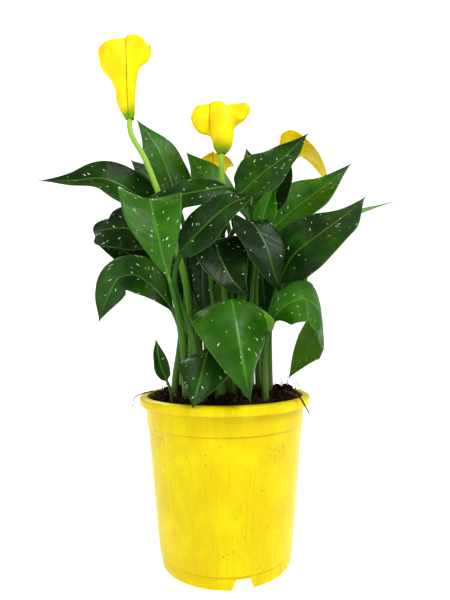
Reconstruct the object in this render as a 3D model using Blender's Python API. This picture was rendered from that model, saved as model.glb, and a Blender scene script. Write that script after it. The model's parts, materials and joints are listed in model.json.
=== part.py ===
"""Potted calla lily: a moulded plastic pot, the peat in it, and the leaves and flowers that grow from it.

Metres, +Z up, the pot's foot on Z = 0 and its axis on the Z axis. The front is towards -Y.
Plant routes are given in millimetres, because leaves are easier to place that way.
"""

import math

import bmesh
import bpy
import numpy as np
from mathutils import Vector

MM = 0.001

# Driving sizes of the pot, in millimetres.
RIM_RADIUS = 85.0
RIM_TOP = 155.9
RIM_SKIRT = 8.4
COLLAR_RADIUS = 77.6
STEP_HEIGHT = 128.8
STEP_RADIUS = 76.6
BASE_RADIUS = 65.0
LEDGE_HEIGHT = 11.2
LEDGE_DEPTH = 1.2
WALL = 1.8
WELL_RADIUS = 32.0
POT_SIDES = 56
NOTCHES = 4
NOTCH_TURN = math.radians(-77)
NOTCH_WIDTH_TOP = 13.0
NOTCH_WIDTH_BOTTOM = 19.0
DRAIN_HOLES = 6
DRAIN_RADIUS = 4.5
DRAIN_SIDES = 12

# The peat.
SOIL_GAP = 0.5
FLOOR_GAP = 0.4
SOIL_LEVEL = 151.5
SOIL_RINGS = 8
SOIL_SIDES = 32

# The growing parts.
ROOT_CLEARANCE = 0.5
STALK_FOOT_RADIUS = 3.9
STALK_TOP_RADIUS = 2.5
BLADE_THICKNESS = 0.9
MARGIN_THICKNESS = 0.5
MIDRIB_THICKNESS = 2.6
HALF_COLUMNS = 2
STALK_RINGS = 5
LEAST_STEP = 0.8
FULL_WIDTH = 20.0
BLADE_RINGS = 11
STEM_FOOT_RADIUS = 4.4
STEM_TOP_RADIUS = 3.2
TUBE_STEP = 22.0
TUBE_SIDES = 8
TUBE_HEADING = 35.0
SPATHE_GAP = 0.5
SPATHE_THICKNESS = 0.6
SPATHE_COLUMNS = 30
SPATHE_ROWS = 9

# name: foot on the peat (x, y), midrib of the blade from its base to its tip (x, y, z, roll in degrees),
# half width, how far each half is lifted at the midrib (left, right), and how far it curls on to its margin.
# Left and right are as seen looking along the leaf from the plant's middle.
LEAVES = {
    "leaf_front": dict(
        foot=(-6, -36), width=(48, 41), fold=(-10, -8), curl=(-56, -26), broad=0.23,
        blade=[(4, -38, 236, -6), (6, -56, 247, -6), (9, -78, 232, -4), (14, -92, 198, 0),
               (20, -99, 162, 0)],
    ),
    "leaf_front_low": dict(
        foot=(-21, -43), width=(26, 28), fold=(-10, -10), curl=(-20, -20), broad=0.35,
        blade=[(-14, -44, 200, 0), (-15, -58, 200, 0), (-19, -75, 184, 0), (-26, -89, 156, 0)],
    ),
    "leaf_right_arch": dict(
        foot=(38, -34), width=(30, 30), fold=(5, 5), curl=(-20, -20), broad=0.5, heading=0,
        blade=[(45, -44, 226, -50), (56, -57, 241, -50), (71, -60, 246, -50), (86, -52, 238, -35),
               (92, -34, 222, 0), (84, -14, 202, 35), (64, -8, 171, 45)],
    ),
    "leaf_left_under": dict(
        foot=(-36, -34), width=(31, 31), fold=(12, 12), curl=(10, 10), broad=0.72, swell=1.7, heading=100,
        blade=[(-50, -37, 262, 0), (-56, -50, 286, 0), (-61, -55, 312, 0), (-66, -52, 332, 0),
               (-71, -40, 345, 0), (-76, -27, 341, 0), (-80, -12, 332, 0)],
    ),
    "leaf_left_cup": dict(
        foot=(-44, 8), width=(27, 27), fold=(14, 14), curl=(-22, -22), broad=0.52, heading=180,
        blade=[(-62, 25, 312, 60), (-84, 24, 327, 70), (-108, 23, 333, 74), (-130, 25, 332, 68),
               (-142, 34, 332, 60), (-146, 50, 324, 50)],
    ),
    "leaf_left_lower": dict(
        foot=(-50, 22), width=(21, 21), fold=(12, 12), curl=(-14, -14), broad=0.45, heading=180,
        blade=[(-56, 32, 258, 60), (-82, 36, 284, 66), (-106, 36, 306, 66), (-128, 36, 315, 60),
               (-148, 40, 322, 50)],
    ),
    "leaf_upper_right": dict(
        foot=(10, -20), width=(30, 30), fold=(12, 12), curl=(-10, -10), broad=0.35, heading=0,
        blade=[(16, -22, 352, -55), (38, -28, 373, -55), (62, -32, 390, -50), (84, -36, 411, -40)],
    ),
    "leaf_right_dark": dict(
        foot=(44, -14), width=(34, 34), fold=(12, 12), curl=(-12, -12), broad=0.38, heading=0,
        blade=[(54, -16, 262, -55), (68, -24, 291, -55), (98, -26, 315, -50), (126, -14, 336, -40),
               (149, -4, 357, -30)],
    ),
    "leaf_right_upper": dict(
        foot=(38, 6), width=(32, 32), fold=(18, 18), curl=(-12, -12), broad=0.42, heading=0,
        blade=[(46, 12, 317, -55), (66, 17, 341, -55), (92, 18, 362, -50), (118, 18, 381, -40),
               (143, 20, 403, -30)],
    ),
    "leaf_centre_long": dict(
        foot=(4, 2), width=(17, 17), fold=(5, 5), curl=(-15, -15), broad=0.35, heading=180,
        blade=[(8, -8, 366, 70), (-18, -18, 361, 70), (-58, -14, 354, 70), (-88, 2, 354, 55),
               (-110, 14, 356, 40)],
    ),
    "leaf_centre_up": dict(
        foot=(-20, -28), width=(22, 22), fold=(12, 12), curl=(-10, -10), broad=0.45, heading=0,
        blade=[(-42, -38, 290, -60), (-20, -56, 311, -60), (4, -64, 330, -60), (31, -60, 344, -50)],
    ),
    "leaf_centre_right": dict(
        foot=(20, -30), width=(22, 30), fold=(15, 15), curl=(-15, -15), broad=0.35, heading=-75,
        blade=[(12, -14, 322, 10), (24, -28, 326, 10), (40, -38, 300, 10), (48, -38, 272, 10),
               (54, -34, 253, 10)],
    ),
    "leaf_centre_left": dict(
        foot=(-2, -16), width=(28, 24), fold=(18, 18), curl=(-10, -10), broad=0.35, heading=-80,
        blade=[(-12, -24, 294, 0), (-10, -32, 306, 0), (-2, -44, 284, 0), (10, -50, 262, 0),
               (24, -44, 250, 0)],
    ),
    "leaf_upright_left": dict(
        foot=(-26, 24), width=(27, 27), fold=(8, 8), curl=(-10, -10), broad=0.4, heading=180,
        blade=[(-50, 28, 359, 60), (-60, 26, 392, 60), (-72, 22, 422, 55), (-95, 18, 454, 50)],
    ),
    "leaf_arch_left": dict(
        foot=(-38, 24), width=(24, 24), fold=(20, 20), curl=(-10, -10), broad=0.35, heading=180,
        blade=[(-74, 36, 352, 70), (-100, 26, 374, 70), (-130, 12, 385, 65), (-160, 4, 380, 60),
               (-194, -2, 378, 40)],
    ),
    "leaf_droop_left": dict(
        foot=(-50, -14), width=(24, 24), fold=(15, 15), curl=(-14, -14), broad=0.62, heading=180, swell=1.3,
        blade=[(-48, -20, 234, 60), (-60, -23, 252, 60), (-74, -22, 266, 62), (-90, -19, 275, 62),
               (-104, -19, 272, 62), (-113, -20, 256, 62), (-123, -20, 229, 60)],
    ),
    "leaf_young_fold": dict(
        foot=(26, -10), width=(14, 14), fold=(35, 35), curl=(0, 0), broad=0.35, heading=60,
        blade=[(38, -6, 322, -30), (42, -9, 338, -30), (47, -13, 353, -30), (53, -16, 366, -30)],
    ),
    "leaf_back_centre": dict(
        foot=(-2, 32), width=(26, 26), fold=(15, 15), curl=(0, 0), broad=0.4, heading=170,
        blade=[(2, 34, 350, 50), (-10, 36, 378, 50), (-24, 38, 402, 50), (-42, 40, 426, 50)],
    ),
    "leaf_back_left": dict(
        foot=(-18, 42), width=(24, 24), fold=(15, 15), curl=(0, 0), broad=0.4, heading=160,
        blade=[(-58, 62, 350, 50), (-72, 60, 378, 50), (-88, 58, 402, 50), (-110, 56, 424, 50)],
    ),
    "leaf_shoot": dict(
        foot=(-48, -42), width=(8, 8), fold=(25, 25), curl=(0, 0), broad=0.4, heading=180,
        blade=[(-53, -43, 172, 60), (-58, -45, 184, 60), (-61, -46, 197, 60), (-63, -46, 211, 60)],
    ),
    "leaf_far_right": dict(
        foot=(40, 30), width=(22, 22), fold=(15, 15), curl=(-10, -10), broad=0.4, heading=10,
        blade=[(70, 44, 300, -10), (104, 50, 328, -5), (146, 54, 350, 0), (176, 58, 362, 0),
               (204, 60, 372, 0)],
    ),
    "leaf_back_tip": dict(
        foot=(14, 56), width=(24, 24), fold=(15, 15), curl=(0, 0), broad=0.4, heading=70,
        blade=[(30, 66, 350, -30), (36, 74, 384, -30), (36, 80, 418, -30), (30, 84, 450, -30)],
    ),
    "leaf_back_dark": dict(
        foot=(34, -2), width=(16, 16), fold=(10, 10), curl=(0, 0), broad=0.4, heading=20,
        blade=[(46, 2, 340, -50), (55, 0, 362, -50), (64, 0, 385, -50), (72, 2, 405, -50)],
    ),
    "leaf_inner_left": dict(
        foot=(-18, 16), width=(20, 18), fold=(10, 10), curl=(-10, -10), broad=0.4, heading=-110,
        blade=[(-16, 26, 320, 0), (-18, 16, 327, 0), (-22, 6, 296, 0), (-22, 2, 262, 0), (-19, 2, 228, 0)],
    ),
    "leaf_inner_right": dict(
        foot=(22, 32), width=(23, 23), fold=(10, 10), curl=(-10, -10), broad=0.62, heading=-80,
        blade=[(31, 45, 304, 0), (35, 40, 315, 0), (41, 33, 299, 0), (44, 32, 268, 0), (46, 30, 238, 0)],
    ),
    "leaf_back_low_left": dict(
        foot=(-24, 52), width=(34, 34), fold=(10, 10), curl=(-20, -20), broad=0.35, heading=130,
        blade=[(-36, 60, 236, 0), (-48, 72, 286, 0), (-64, 96, 320, 0), (-82, 128, 320, 0),
               (-96, 152, 284, 0)],
    ),
    "leaf_back_low_right": dict(
        foot=(30, 54), width=(34, 34), fold=(10, 10), curl=(-20, -20), broad=0.35, heading=50,
        blade=[(42, 70, 230, 0), (56, 82, 276, 0), (76, 104, 304, 0), (98, 132, 298, 0),
               (112, 150, 262, 0)],
    ),
    "leaf_back_mid": dict(
        foot=(4, 60), width=(31, 31), fold=(10, 10), curl=(-20, -20), broad=0.35, heading=90,
        blade=[(0, 68, 240, 0), (-2, 84, 296, 0), (-6, 108, 336, 0), (-8, 142, 340, 0), (-8, 170, 304, 0)],
    ),
}

# name: foot of the stem on the peat (x, y), points of the stem, its top, way the flower points, spadix height.
FLOWERS = {
    "tall": dict(foot=(-32, 2), stem=[(-38, 4, 260), (-60, 4, 340), (-84, 2, 405)], top=(-99, 0, 445),
                 aim=(0.0, 0.0, 1.0), spadix=52),
    "middle": dict(foot=(-4, 16), stem=[(-3, 18, 260), (-1, 16, 330), (-1, 6, 380)], top=(-1, 0, 406),
                   aim=(0.0, 0.0, 1.0), spadix=36),
    "back": dict(foot=(-8, 42), stem=[(-8, 50, 260), (-9, 66, 330)], top=(-10, 78, 392),
                 aim=(0.0, 0.1, 1.0), spadix=28),
    "right": dict(foot=(14, 14), stem=[(20, 12, 260), (28, 22, 320), (44, 42, 365)], top=(66, 48, 399),
                  aim=(0.3, 0.0, 1.0), spadix=30),
}

# name: upright lines on the spathe's sheet, in order round it. Each is an angle in degrees, counted from +X,
# and points (radius, height) from the neck to the rim.
SPATHES = {
    "tall": [
        (-96, [(4.0, 0), (6.5, 12), (9.5, 27), (11.5, 42), (13.5, 57), (15.4, 71), (15, 84)]),
        (-45, [(4.0, 0), (5.4, 14), (6.4, 29), (7, 45), (9, 60), (13, 74), (17, 86)]),
        (0, [(4.0, 0), (5.2, 14), (5, 29), (6.2, 44), (9.5, 58), (19, 67), (22, 79)]),
        (40, [(4.0, 0), (5, 15), (6, 31), (7.4, 47), (11, 63), (20, 79), (23, 95)]),
        (90, [(4.0, 0), (6, 16), (9, 32), (11, 48), (15, 62), (22, 77), (34, 86)]),
        (135, [(4.0, 0), (7, 12), (12, 26), (16, 40), (24, 55), (34, 68), (42, 75)]),
        (180, [(4.0, 0), (8.4, 7), (14, 19), (15, 31), (21, 45), (30, 55), (35, 71)]),
        (225, [(3.4, 0), (6.4, 9), (10.4, 19), (12, 31), (19, 42), (27, 55), (30, 73)]),
        (272, [(2.6, 0), (4.6, 12), (7.0, 27), (8.6, 42), (10.3, 57), (11.6, 71), (10.6, 84)]),
    ],
    "middle": [
        (-144, [(4.0, 0), (9.5, 8), (13.6, 17), (14.6, 28), (15, 37), (15, 45), (14.6, 52)]),
        (-90, [(4.0, 0), (10, 8), (14, 18), (14.5, 28), (14, 38), (13, 46), (12, 52)]),
        (-40, [(4.0, 0), (10, 8), (13, 18), (14, 28), (14, 36), (13.5, 42), (13, 46)]),
        (2, [(4.0, 0), (10, 8), (12.4, 18), (12.6, 26), (13, 32), (16, 36), (20, 39)]),
        (24, [(4.0, 0), (10, 8), (12.6, 18), (13.5, 28), (19, 36), (28, 44), (35, 54)]),
        (50, [(4.0, 0), (10, 9), (13, 20), (15, 33), (22, 48), (33, 62), (40, 74)]),
        (90, [(4.0, 0), (10, 9), (13, 20), (14, 34), (17, 47), (22, 58), (26, 66)]),
        (130, [(4.0, 0), (10, 9), (12.6, 19), (14, 31), (18, 42), (25, 48), (31, 48)]),
        (166, [(3.6, 0), (8.4, 8), (10.4, 16), (13, 22), (23, 28), (30, 40), (28, 49)]),
        (192, [(3.2, 0), (8, 8), (10.4, 16), (13, 21), (24, 24), (31, 38), (27, 50)]),
        (216, [(2.6, 0), (7.3, 8), (11, 17), (11.6, 28), (11.6, 37), (11.6, 45), (11.2, 52)]),
    ],
    "back": [
        (-96, [(4.0, 0), (8, 8), (12, 17), (14, 26), (17, 34), (22, 38), (27, 37)]),
        (-45, [(4.0, 0), (8, 8), (12, 17), (14, 26), (17, 34), (21, 38), (24, 36)]),
        (0, [(4.0, 0), (8, 8), (12, 17), (14, 26), (17, 34), (21, 37), (24, 34)]),
        (45, [(4.0, 0), (8, 8), (12, 17), (14, 27), (18, 36), (25, 43), (31, 44)]),
        (90, [(4.0, 0), (8, 8), (12, 17), (14, 27), (18, 38), (26, 47), (36, 50)]),
        (135, [(4.0, 0), (8, 8), (12, 17), (14, 27), (18, 36), (25, 43), (31, 44)]),
        (180, [(4.0, 0), (8, 8), (12, 17), (14, 26), (17, 34), (21, 37), (24, 34)]),
        (225, [(3.4, 0), (7.4, 8), (11.4, 17), (13.4, 26), (16, 34), (20, 37), (23, 35)]),
        (270, [(2.6, 0), (6.4, 8), (10.3, 17), (12.2, 26), (15.2, 34.4), (20.2, 39.2), (26, 39.2)]),
    ],
    "right": [
        (-140, [(4.0, 0), (8, 8), (10.4, 17), (11.6, 26), (12.8, 33), (14, 39), (15, 43)]),
        (-90, [(4.0, 0), (7, 8), (10, 17), (13, 26), (17, 34), (21, 41), (25, 46)]),
        (-45, [(4.0, 0), (6, 8), (8, 18), (12, 28), (20, 36), (31, 38), (40, 32)]),
        (0, [(4.0, 0), (5, 8), (8, 18), (15, 29), (29, 35), (44, 28), (54, 13)]),
        (45, [(4.0, 0), (6, 8), (8, 18), (12, 29), (20, 40), (31, 45), (42, 41)]),
        (90, [(4.0, 0), (7, 8), (10, 17), (12, 27), (15, 37), (19, 45), (24, 51)]),
        (135, [(4.0, 0), (8, 8), (10, 17), (11, 26), (12, 35), (14, 42), (17, 47)]),
        (180, [(3.4, 0), (7, 8), (9, 17), (9.4, 26), (9.6, 33), (10, 39), (10.4, 43)]),
        (218, [(2.6, 0), (6.4, 8), (8.6, 17), (9.6, 26), (10.6, 33), (11.6, 39), (12.4, 43)]),
    ],
}

# name: radius and route of a loose root or twig in the peat, from one end to the other.
FIBRES = {
    "root_over_left_rim": (0.7, [(-70, -20, 161), (-79, -22, 159), (-86, -24, 156), (-89, -25, 144)]),
    "twig_over_right_rim": (1.2, [(54, -46, 163), (60, -51, 161.5), (66, -58, 159), (70, -62, 152),
                                  (73, -65, 146)]),
    "twig_on_peat_left": (0.9, [(-42, -58, 160), (-47, -60, 168), (-51, -60, 177)]),
}


def clear_scene():
    for thing in list(bpy.data.objects):
        bpy.data.objects.remove(thing, do_unlink=True)


def material(name, colour, roughness, metallic=0.0):
    made = bpy.data.materials.new(name)
    made.use_nodes = True
    shader = made.node_tree.nodes["Principled BSDF"]
    shader.inputs["Base Color"].default_value = (*colour, 1.0)
    shader.inputs["Roughness"].default_value = roughness
    shader.inputs["Metallic"].default_value = metallic
    made.diffuse_color = (*colour, 1.0)
    return made


def add_object(name, points, faces, finish):
    """A mesh object from points in millimetres, its faces turned outwards."""
    mesh = bpy.data.meshes.new(name)
    mesh.from_pydata([tuple(MM * value for value in point) for point in points], [], faces)
    shape = bmesh.new()
    shape.from_mesh(mesh)
    bmesh.ops.recalc_face_normals(shape, faces=shape.faces)
    shape.to_mesh(mesh)
    shape.free()
    made = bpy.data.objects.new(name, mesh)
    made.data.materials.append(finish)
    bpy.context.scene.collection.objects.link(made)
    return made


def bridged(rings):
    """Faces of a tube through rings of equally many points, with both ends capped.

    The second half of each ring is split the other way, as the two sides of a thin twisted blade then match.
    """
    sides = len(rings[0])
    faces = [tuple(range(sides)), tuple((len(rings) - 1) * sides + side for side in range(sides))]
    for ring in range(len(rings) - 1):
        for side in range(sides):
            here = ring * sides + side
            beside = ring * sides + (side + 1) % sides
            if 2 * side < sides:
                faces += [(here, beside, beside + sides), (here, beside + sides, here + sides)]
            else:
                faces += [(here, beside, here + sides), (beside, beside + sides, here + sides)]
    return [point for ring in rings for point in ring], faces


def smooth_path(knots):
    """Many even samples of a smooth curve through the knots, and the length along it at each knot."""
    knots = np.array(knots, float)
    gaps = np.linalg.norm(np.diff(knots[:, :3], axis=0), axis=1)
    at = np.concatenate([[0.0], np.cumsum(gaps)])
    slopes = np.gradient(knots, at, axis=0)
    fine = np.linspace(0.0, at[-1], 60 * len(gaps) + 1)
    left = np.clip(np.searchsorted(at, fine, side="right") - 1, 0, len(gaps) - 1)
    span = gaps[left][:, None]
    part = (fine - at[left])[:, None] / span
    rise = part * part * (3 - 2 * part)
    path = knots[left] * (1 - rise) + knots[left + 1] * rise
    path += slopes[left] * span * part * (1 - part) ** 2
    path -= slopes[left + 1] * span * part ** 2 * (1 - part)
    lengths = np.concatenate([[0.0], np.cumsum(np.linalg.norm(np.diff(path[:, :3], axis=0), axis=1))])
    return path, lengths, np.interp(at, fine, lengths)


def standing_height(x, y):
    """Lowest height at which a stalk clears the peat all round its foot."""
    ring = [(x + 4.5 * math.cos(turn), y + 4.5 * math.sin(turn)) for turn in range(7)]
    return max(soil_height(*spot) for spot in ring) + ROOT_CLEARANCE


def stalk_knots(foot, first, second):
    """A stalk that leaves the peat upright and runs on into the blade's first stretch."""
    start = np.array([*foot, standing_height(*foot)])
    end = np.array(first)
    aim = np.array(second) - end
    reach = np.linalg.norm(end - start)
    aim = aim / np.linalg.norm(aim)
    rise = start + np.array([0.0, 0.0, 0.45 * reach])
    ease = end - 0.25 * reach * aim
    knots = []
    for part in (0.0, 0.25, 0.5, 0.75):
        back = 1 - part
        early = back ** 3 * start + 3 * back ** 2 * part * rise
        late = 3 * back * part ** 2 * ease + part ** 3 * end
        knots.append(early + late)
    return knots


def blade_half_width(along, width, leaf):
    """Half the blade's width at a share of its length: round at the base, drawn out to a point."""
    broad = leaf["broad"]
    if along < broad:
        return width * max(0.0, 1 - (1 - along / broad) ** 2) ** leaf.get("swell", 0.5)
    return width * (1 - ((along - broad) / (1 - broad)) ** 1.8) ** 1.2


def frames_along(path, lengths, wanted, heading):
    """Place, roll, way along, way across and way up at each wanted length."""
    rows = np.stack([np.interp(wanted, lengths, path[:, axis]) for axis in range(path.shape[1])], axis=1)
    slopes = np.gradient(path[:, :3], lengths, axis=0)
    ways = np.stack([np.interp(wanted, lengths, slopes[:, axis]) for axis in range(3)], axis=1)
    across = np.cross([math.cos(heading), math.sin(heading), 0.0], [0.0, 0.0, 1.0])
    found = []
    for row, way in zip(rows, ways):
        way = way / np.linalg.norm(way)
        side = across - way * np.dot(across, way)
        side /= np.linalg.norm(side)
        up = np.cross(side, way)
        roll = math.radians(row[3])
        found.append((row[:3], way, math.cos(roll) * side + math.sin(roll) * up,
                      math.cos(roll) * up - math.sin(roll) * side))
    return found


def leaf_row(frame, halves, leaf):
    """The middle of the folded blade at one place, margin to margin, and the way its upper face looks."""
    place, _, side, up = frame
    row = []
    for column in range(-HALF_COLUMNS, HALF_COLUMNS + 1):
        right = column > 0
        hand = 1 if right else -1
        lift = 0.0
        offset = np.zeros(3)
        for step in range(abs(column)):
            lift = math.radians(leaf["fold"][right] + leaf["curl"][right] * (step + 0.5) / HALF_COLUMNS)
            offset += halves[right] / HALF_COLUMNS * (hand * math.cos(lift) * side + math.sin(lift) * up)
        row.append((place + offset, math.cos(lift) * up - hand * math.sin(lift) * side))
    return row


def keep_in_order(rows, frames):
    """Moves points of the blade on where a tight bend would carry its inner margin back over itself."""
    for before, row, frame in zip(rows, rows[1:], frames[1:]):
        for column, (spot, out) in enumerate(row):
            ahead = np.dot(spot - before[column][0], frame[1])
            row[column] = (spot + max(0.0, LEAST_STEP - ahead) * frame[1], out)


def leaf_section(frame, row, round_radius, blend, rib):
    """One closed ring of a leaf: a round stalk where blend is 0, and the thin blade where it is 1."""
    place, _, side, up = frame
    top, bottom = [], []
    for column, (spot, out) in enumerate(row, -HALF_COLUMNS):
        thick = 0.5 * (BLADE_THICKNESS + (MARGIN_THICKNESS - BLADE_THICKNESS) * abs(column) / HALF_COLUMNS)
        turn = 0.5 * math.pi * (1 - column / HALF_COLUMNS)
        round_side = round_radius * math.cos(turn) * side
        round_up = round_radius * math.sin(turn) * up
        below = rib if column == 0 else thick
        top.append(blend * (spot + thick * out) + (1 - blend) * (place + round_side + round_up))
        bottom.append(blend * (spot - below * out) + (1 - blend) * (place + round_side - round_up))
    left_margin = 0.5 * (top[0] + bottom[0])
    right_margin = 0.5 * (top[-1] + bottom[-1])
    return [left_margin] + top[1:-1] + [right_margin] + bottom[-2:0:-1]


def build_leaf(name, leaf, finish):
    blade = [tuple(row) for row in leaf["blade"]]
    roll = blade[0][3]
    stalk = [(*knot, roll) for knot in stalk_knots(leaf["foot"], blade[0][:3], blade[1][:3])]
    path, lengths, at = smooth_path(stalk + blade)
    start = at[len(stalk)]
    end = lengths[-1]
    wanted = [start * ring / STALK_RINGS for ring in range(STALK_RINGS + 1)]
    wanted += [start + (end - start) * (0.02 + 0.98 * ring / BLADE_RINGS) for ring in range(BLADE_RINGS + 1)]
    if "heading" in leaf:
        heading = math.radians(leaf["heading"])
    else:
        heading = math.atan2(blade[-1][1] - blade[0][1], blade[-1][0] - blade[0][0])
    frames = frames_along(path, lengths, wanted, heading)
    shares = [max(0.0, (length - start) / (end - start)) for length in wanted]
    rows = []
    for frame, along in zip(frames, shares):
        halves = [max(0.6, blade_half_width(along, width, leaf)) for width in leaf["width"]]
        rows.append(leaf_row(frame, halves, leaf))
    keep_in_order(rows[STALK_RINGS:], frames[STALK_RINGS:])
    rings = []
    scale = min(1.0, leaf["width"][0] / FULL_WIDTH)
    for length, along, frame, row in zip(wanted, shares, frames, rows):
        down = min(1.0, length / start)
        radius = scale * (STALK_FOOT_RADIUS + (STALK_TOP_RADIUS - STALK_FOOT_RADIUS) * down)
        blend = min(1.0, along / 0.12)
        rib = 0.5 * (MIDRIB_THICKNESS + (MARGIN_THICKNESS - MIDRIB_THICKNESS) * along) * scale
        rings.append(leaf_section(frame, row, radius, blend, rib))
    points, faces = bridged(rings)
    return add_object(name, points, faces, finish)


def soil_height(x, y):
    """Height of the peat's uneven top."""
    spread = math.hypot(x, y)
    mound = 6.0 * math.cos(min(1.0, spread / 80.0) * math.pi / 2)
    lumps = 1.4 * math.sin(0.11 * x + 0.5) * math.cos(0.13 * y - 0.4)
    right = 8.0 * math.exp(-((x - 56) ** 2 + (y + 2) ** 2) / 420)
    left = 5.0 * math.exp(-((x + 56) ** 2 + (y - 4) ** 2) / 400)
    return SOIL_LEVEL + mound + lumps + right + left


def build_soil(finish):
    """The peat as one solid that fills the pot, a little clear of its wall and floor."""
    floor = LEDGE_HEIGHT + FLOOR_GAP
    turns = [2 * math.pi * side / SOIL_SIDES for side in range(SOIL_SIDES)]
    sides = [(WELL_RADIUS - 1.2 - SOIL_GAP, WALL + FLOOR_GAP), (WELL_RADIUS + 1.0 - SOIL_GAP, floor)]
    for height, inset in ((floor, 3.5), (floor + 3.5, 0.6), (STEP_HEIGHT - 3, 0.0), (STEP_HEIGHT, 0.4),
                          (SOIL_LEVEL - 6, 0.0)):
        sides.append((inner_radius(height) - SOIL_GAP - inset, height))
    rings = [[(radius * math.cos(turn), radius * math.sin(turn), height) for turn in turns]
             for radius, height in sides]
    edge = inner_radius(SOIL_LEVEL) - SOIL_GAP - 0.4
    for ring in range(SOIL_RINGS):
        radius = edge * (1 - ring / SOIL_RINGS)
        spots = [(radius * math.cos(turn), radius * math.sin(turn)) for turn in turns]
        rings.append([(x, y, soil_height(x, y)) for x, y in spots])
    points, faces = bridged(rings)
    return add_object("soil", points, faces, finish)


def tube_rings(knots, radius_at):
    """Rings of a round tube along a smooth route; radius_at takes the share of the way along it."""
    path, lengths, _ = smooth_path([(*knot, 0.0) for knot in knots])
    count = max(3, round(lengths[-1] / TUBE_STEP))
    wanted = np.linspace(0.0, lengths[-1], count + 1)
    rings = []
    frames = frames_along(path, lengths, wanted, math.radians(TUBE_HEADING))
    for number, (place, _, side, up) in enumerate(frames):
        radius = radius_at(number / count)
        turns = [2 * math.pi * corner / TUBE_SIDES for corner in range(TUBE_SIDES)]
        rings.append([place + radius * (math.cos(turn) * side + math.sin(turn) * up) for turn in turns])
    return rings


def build_stem(name, flower, finish):
    foot = (*flower["foot"], standing_height(*flower["foot"]))
    below_top = Vector(flower["top"]) - 10 * Vector(flower["aim"]).normalized()
    rings = tube_rings([foot, *flower["stem"], below_top, flower["top"]],
                       lambda along: STEM_FOOT_RADIUS + (STEM_TOP_RADIUS - STEM_FOOT_RADIUS) * along)
    points, faces = bridged(rings)
    return add_object("stem_" + name, points, faces, finish)


def spread(values, count):
    """Evenly many samples of a smooth curve through the values, along the first axis."""
    values = np.array(values, float)
    last = len(values) - 1
    at = np.linspace(0, last, count)
    left = np.clip(at.astype(int), 0, last - 1)
    part = (at - left).reshape(-1, *[1] * (values.ndim - 1))
    slopes = np.gradient(values, axis=0)
    rise = part * part * (3 - 2 * part)
    smooth = values[left] * (1 - rise) + values[left + 1] * rise
    return smooth + slopes[left] * part * (1 - part) ** 2 - slopes[left + 1] * part ** 2 * (1 - part)


def spathe_sheet(name):
    """The middle of the rolled sheet, as rows of points up it for each column round it, before it is tilted."""
    lines = [[(*spot, turn) for spot in line] for turn, line in SPATHES[name]]
    shape = spread([spread(line, SPATHE_ROWS + 1) for line in lines], SPATHE_COLUMNS + 1)
    radius, height, turn = shape[..., 0], shape[..., 1], np.radians(shape[..., 2])
    return np.stack([radius * np.cos(turn), radius * np.sin(turn), height], axis=-1)


def build_spathe(name, flower, finish):
    """A petal rolled round the flower, its two long margins lapped at the seam."""
    aim = Vector(flower["aim"]).normalized()
    tilt = Vector((0, 0, 1)).rotation_difference(aim)
    base = Vector(flower["top"]) + SPATHE_GAP * aim
    sheet = spathe_sheet(name)
    out = np.cross(np.gradient(sheet, axis=0), np.gradient(sheet, axis=1))
    out *= 0.5 * SPATHE_THICKNESS / np.linalg.norm(out, axis=-1, keepdims=True)
    rings = []
    for column in range(SPATHE_COLUMNS + 1):
        ring = [*(sheet[column] + out[column]), *(sheet[column] - out[column])[::-1]]
        rings.append([base + tilt @ Vector(spot) for spot in ring])
    points, faces = bridged(rings)
    return add_object("spathe_" + name, points, faces, finish)


def build_spadix(name, flower, finish):
    """The finger of tiny flowers that stands inside the spathe, on a thin foot."""
    aim = Vector(flower["aim"]).normalized()
    tilt = Vector((0, 0, 1)).rotation_difference(aim)
    base = Vector(flower["top"]) + SPATHE_GAP * aim
    height = flower["spadix"]
    profile = [(1.6, 0.3), (1.6, 9.0), (2.9, 13.0), (3.2, 20.0), (3.1, height - 8), (2.4, height - 3), (1.0, height)]
    rings = []
    for radius, level in profile:
        turns = [2 * math.pi * corner / TUBE_SIDES for corner in range(TUBE_SIDES)]
        rings.append([base + tilt @ Vector((radius * math.cos(turn), radius * math.sin(turn), level)) for turn in turns])
    points, faces = bridged(rings)
    return add_object("spadix_" + name, points, faces, finish)


def build_fibre(name, fibre, finish):
    radius, knots = fibre
    points, faces = bridged(tube_rings(knots, lambda along: radius * (1 - 0.4 * along)))
    return add_object(name, points, faces, finish)


def outer_radius(height):
    """Outside of the pot's wall, which widens upwards."""
    if height >= STEP_HEIGHT:
        return COLLAR_RADIUS + 0.045 * (height - STEP_HEIGHT)
    return BASE_RADIUS + (STEP_RADIUS - BASE_RADIUS) * (height - LEDGE_HEIGHT) / (STEP_HEIGHT - LEDGE_HEIGHT)


def inner_radius(height):
    if height >= STEP_HEIGHT - 1.5:
        return COLLAR_RADIUS + 0.045 * (height - STEP_HEIGHT) - WALL
    return outer_radius(height) - WALL


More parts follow.
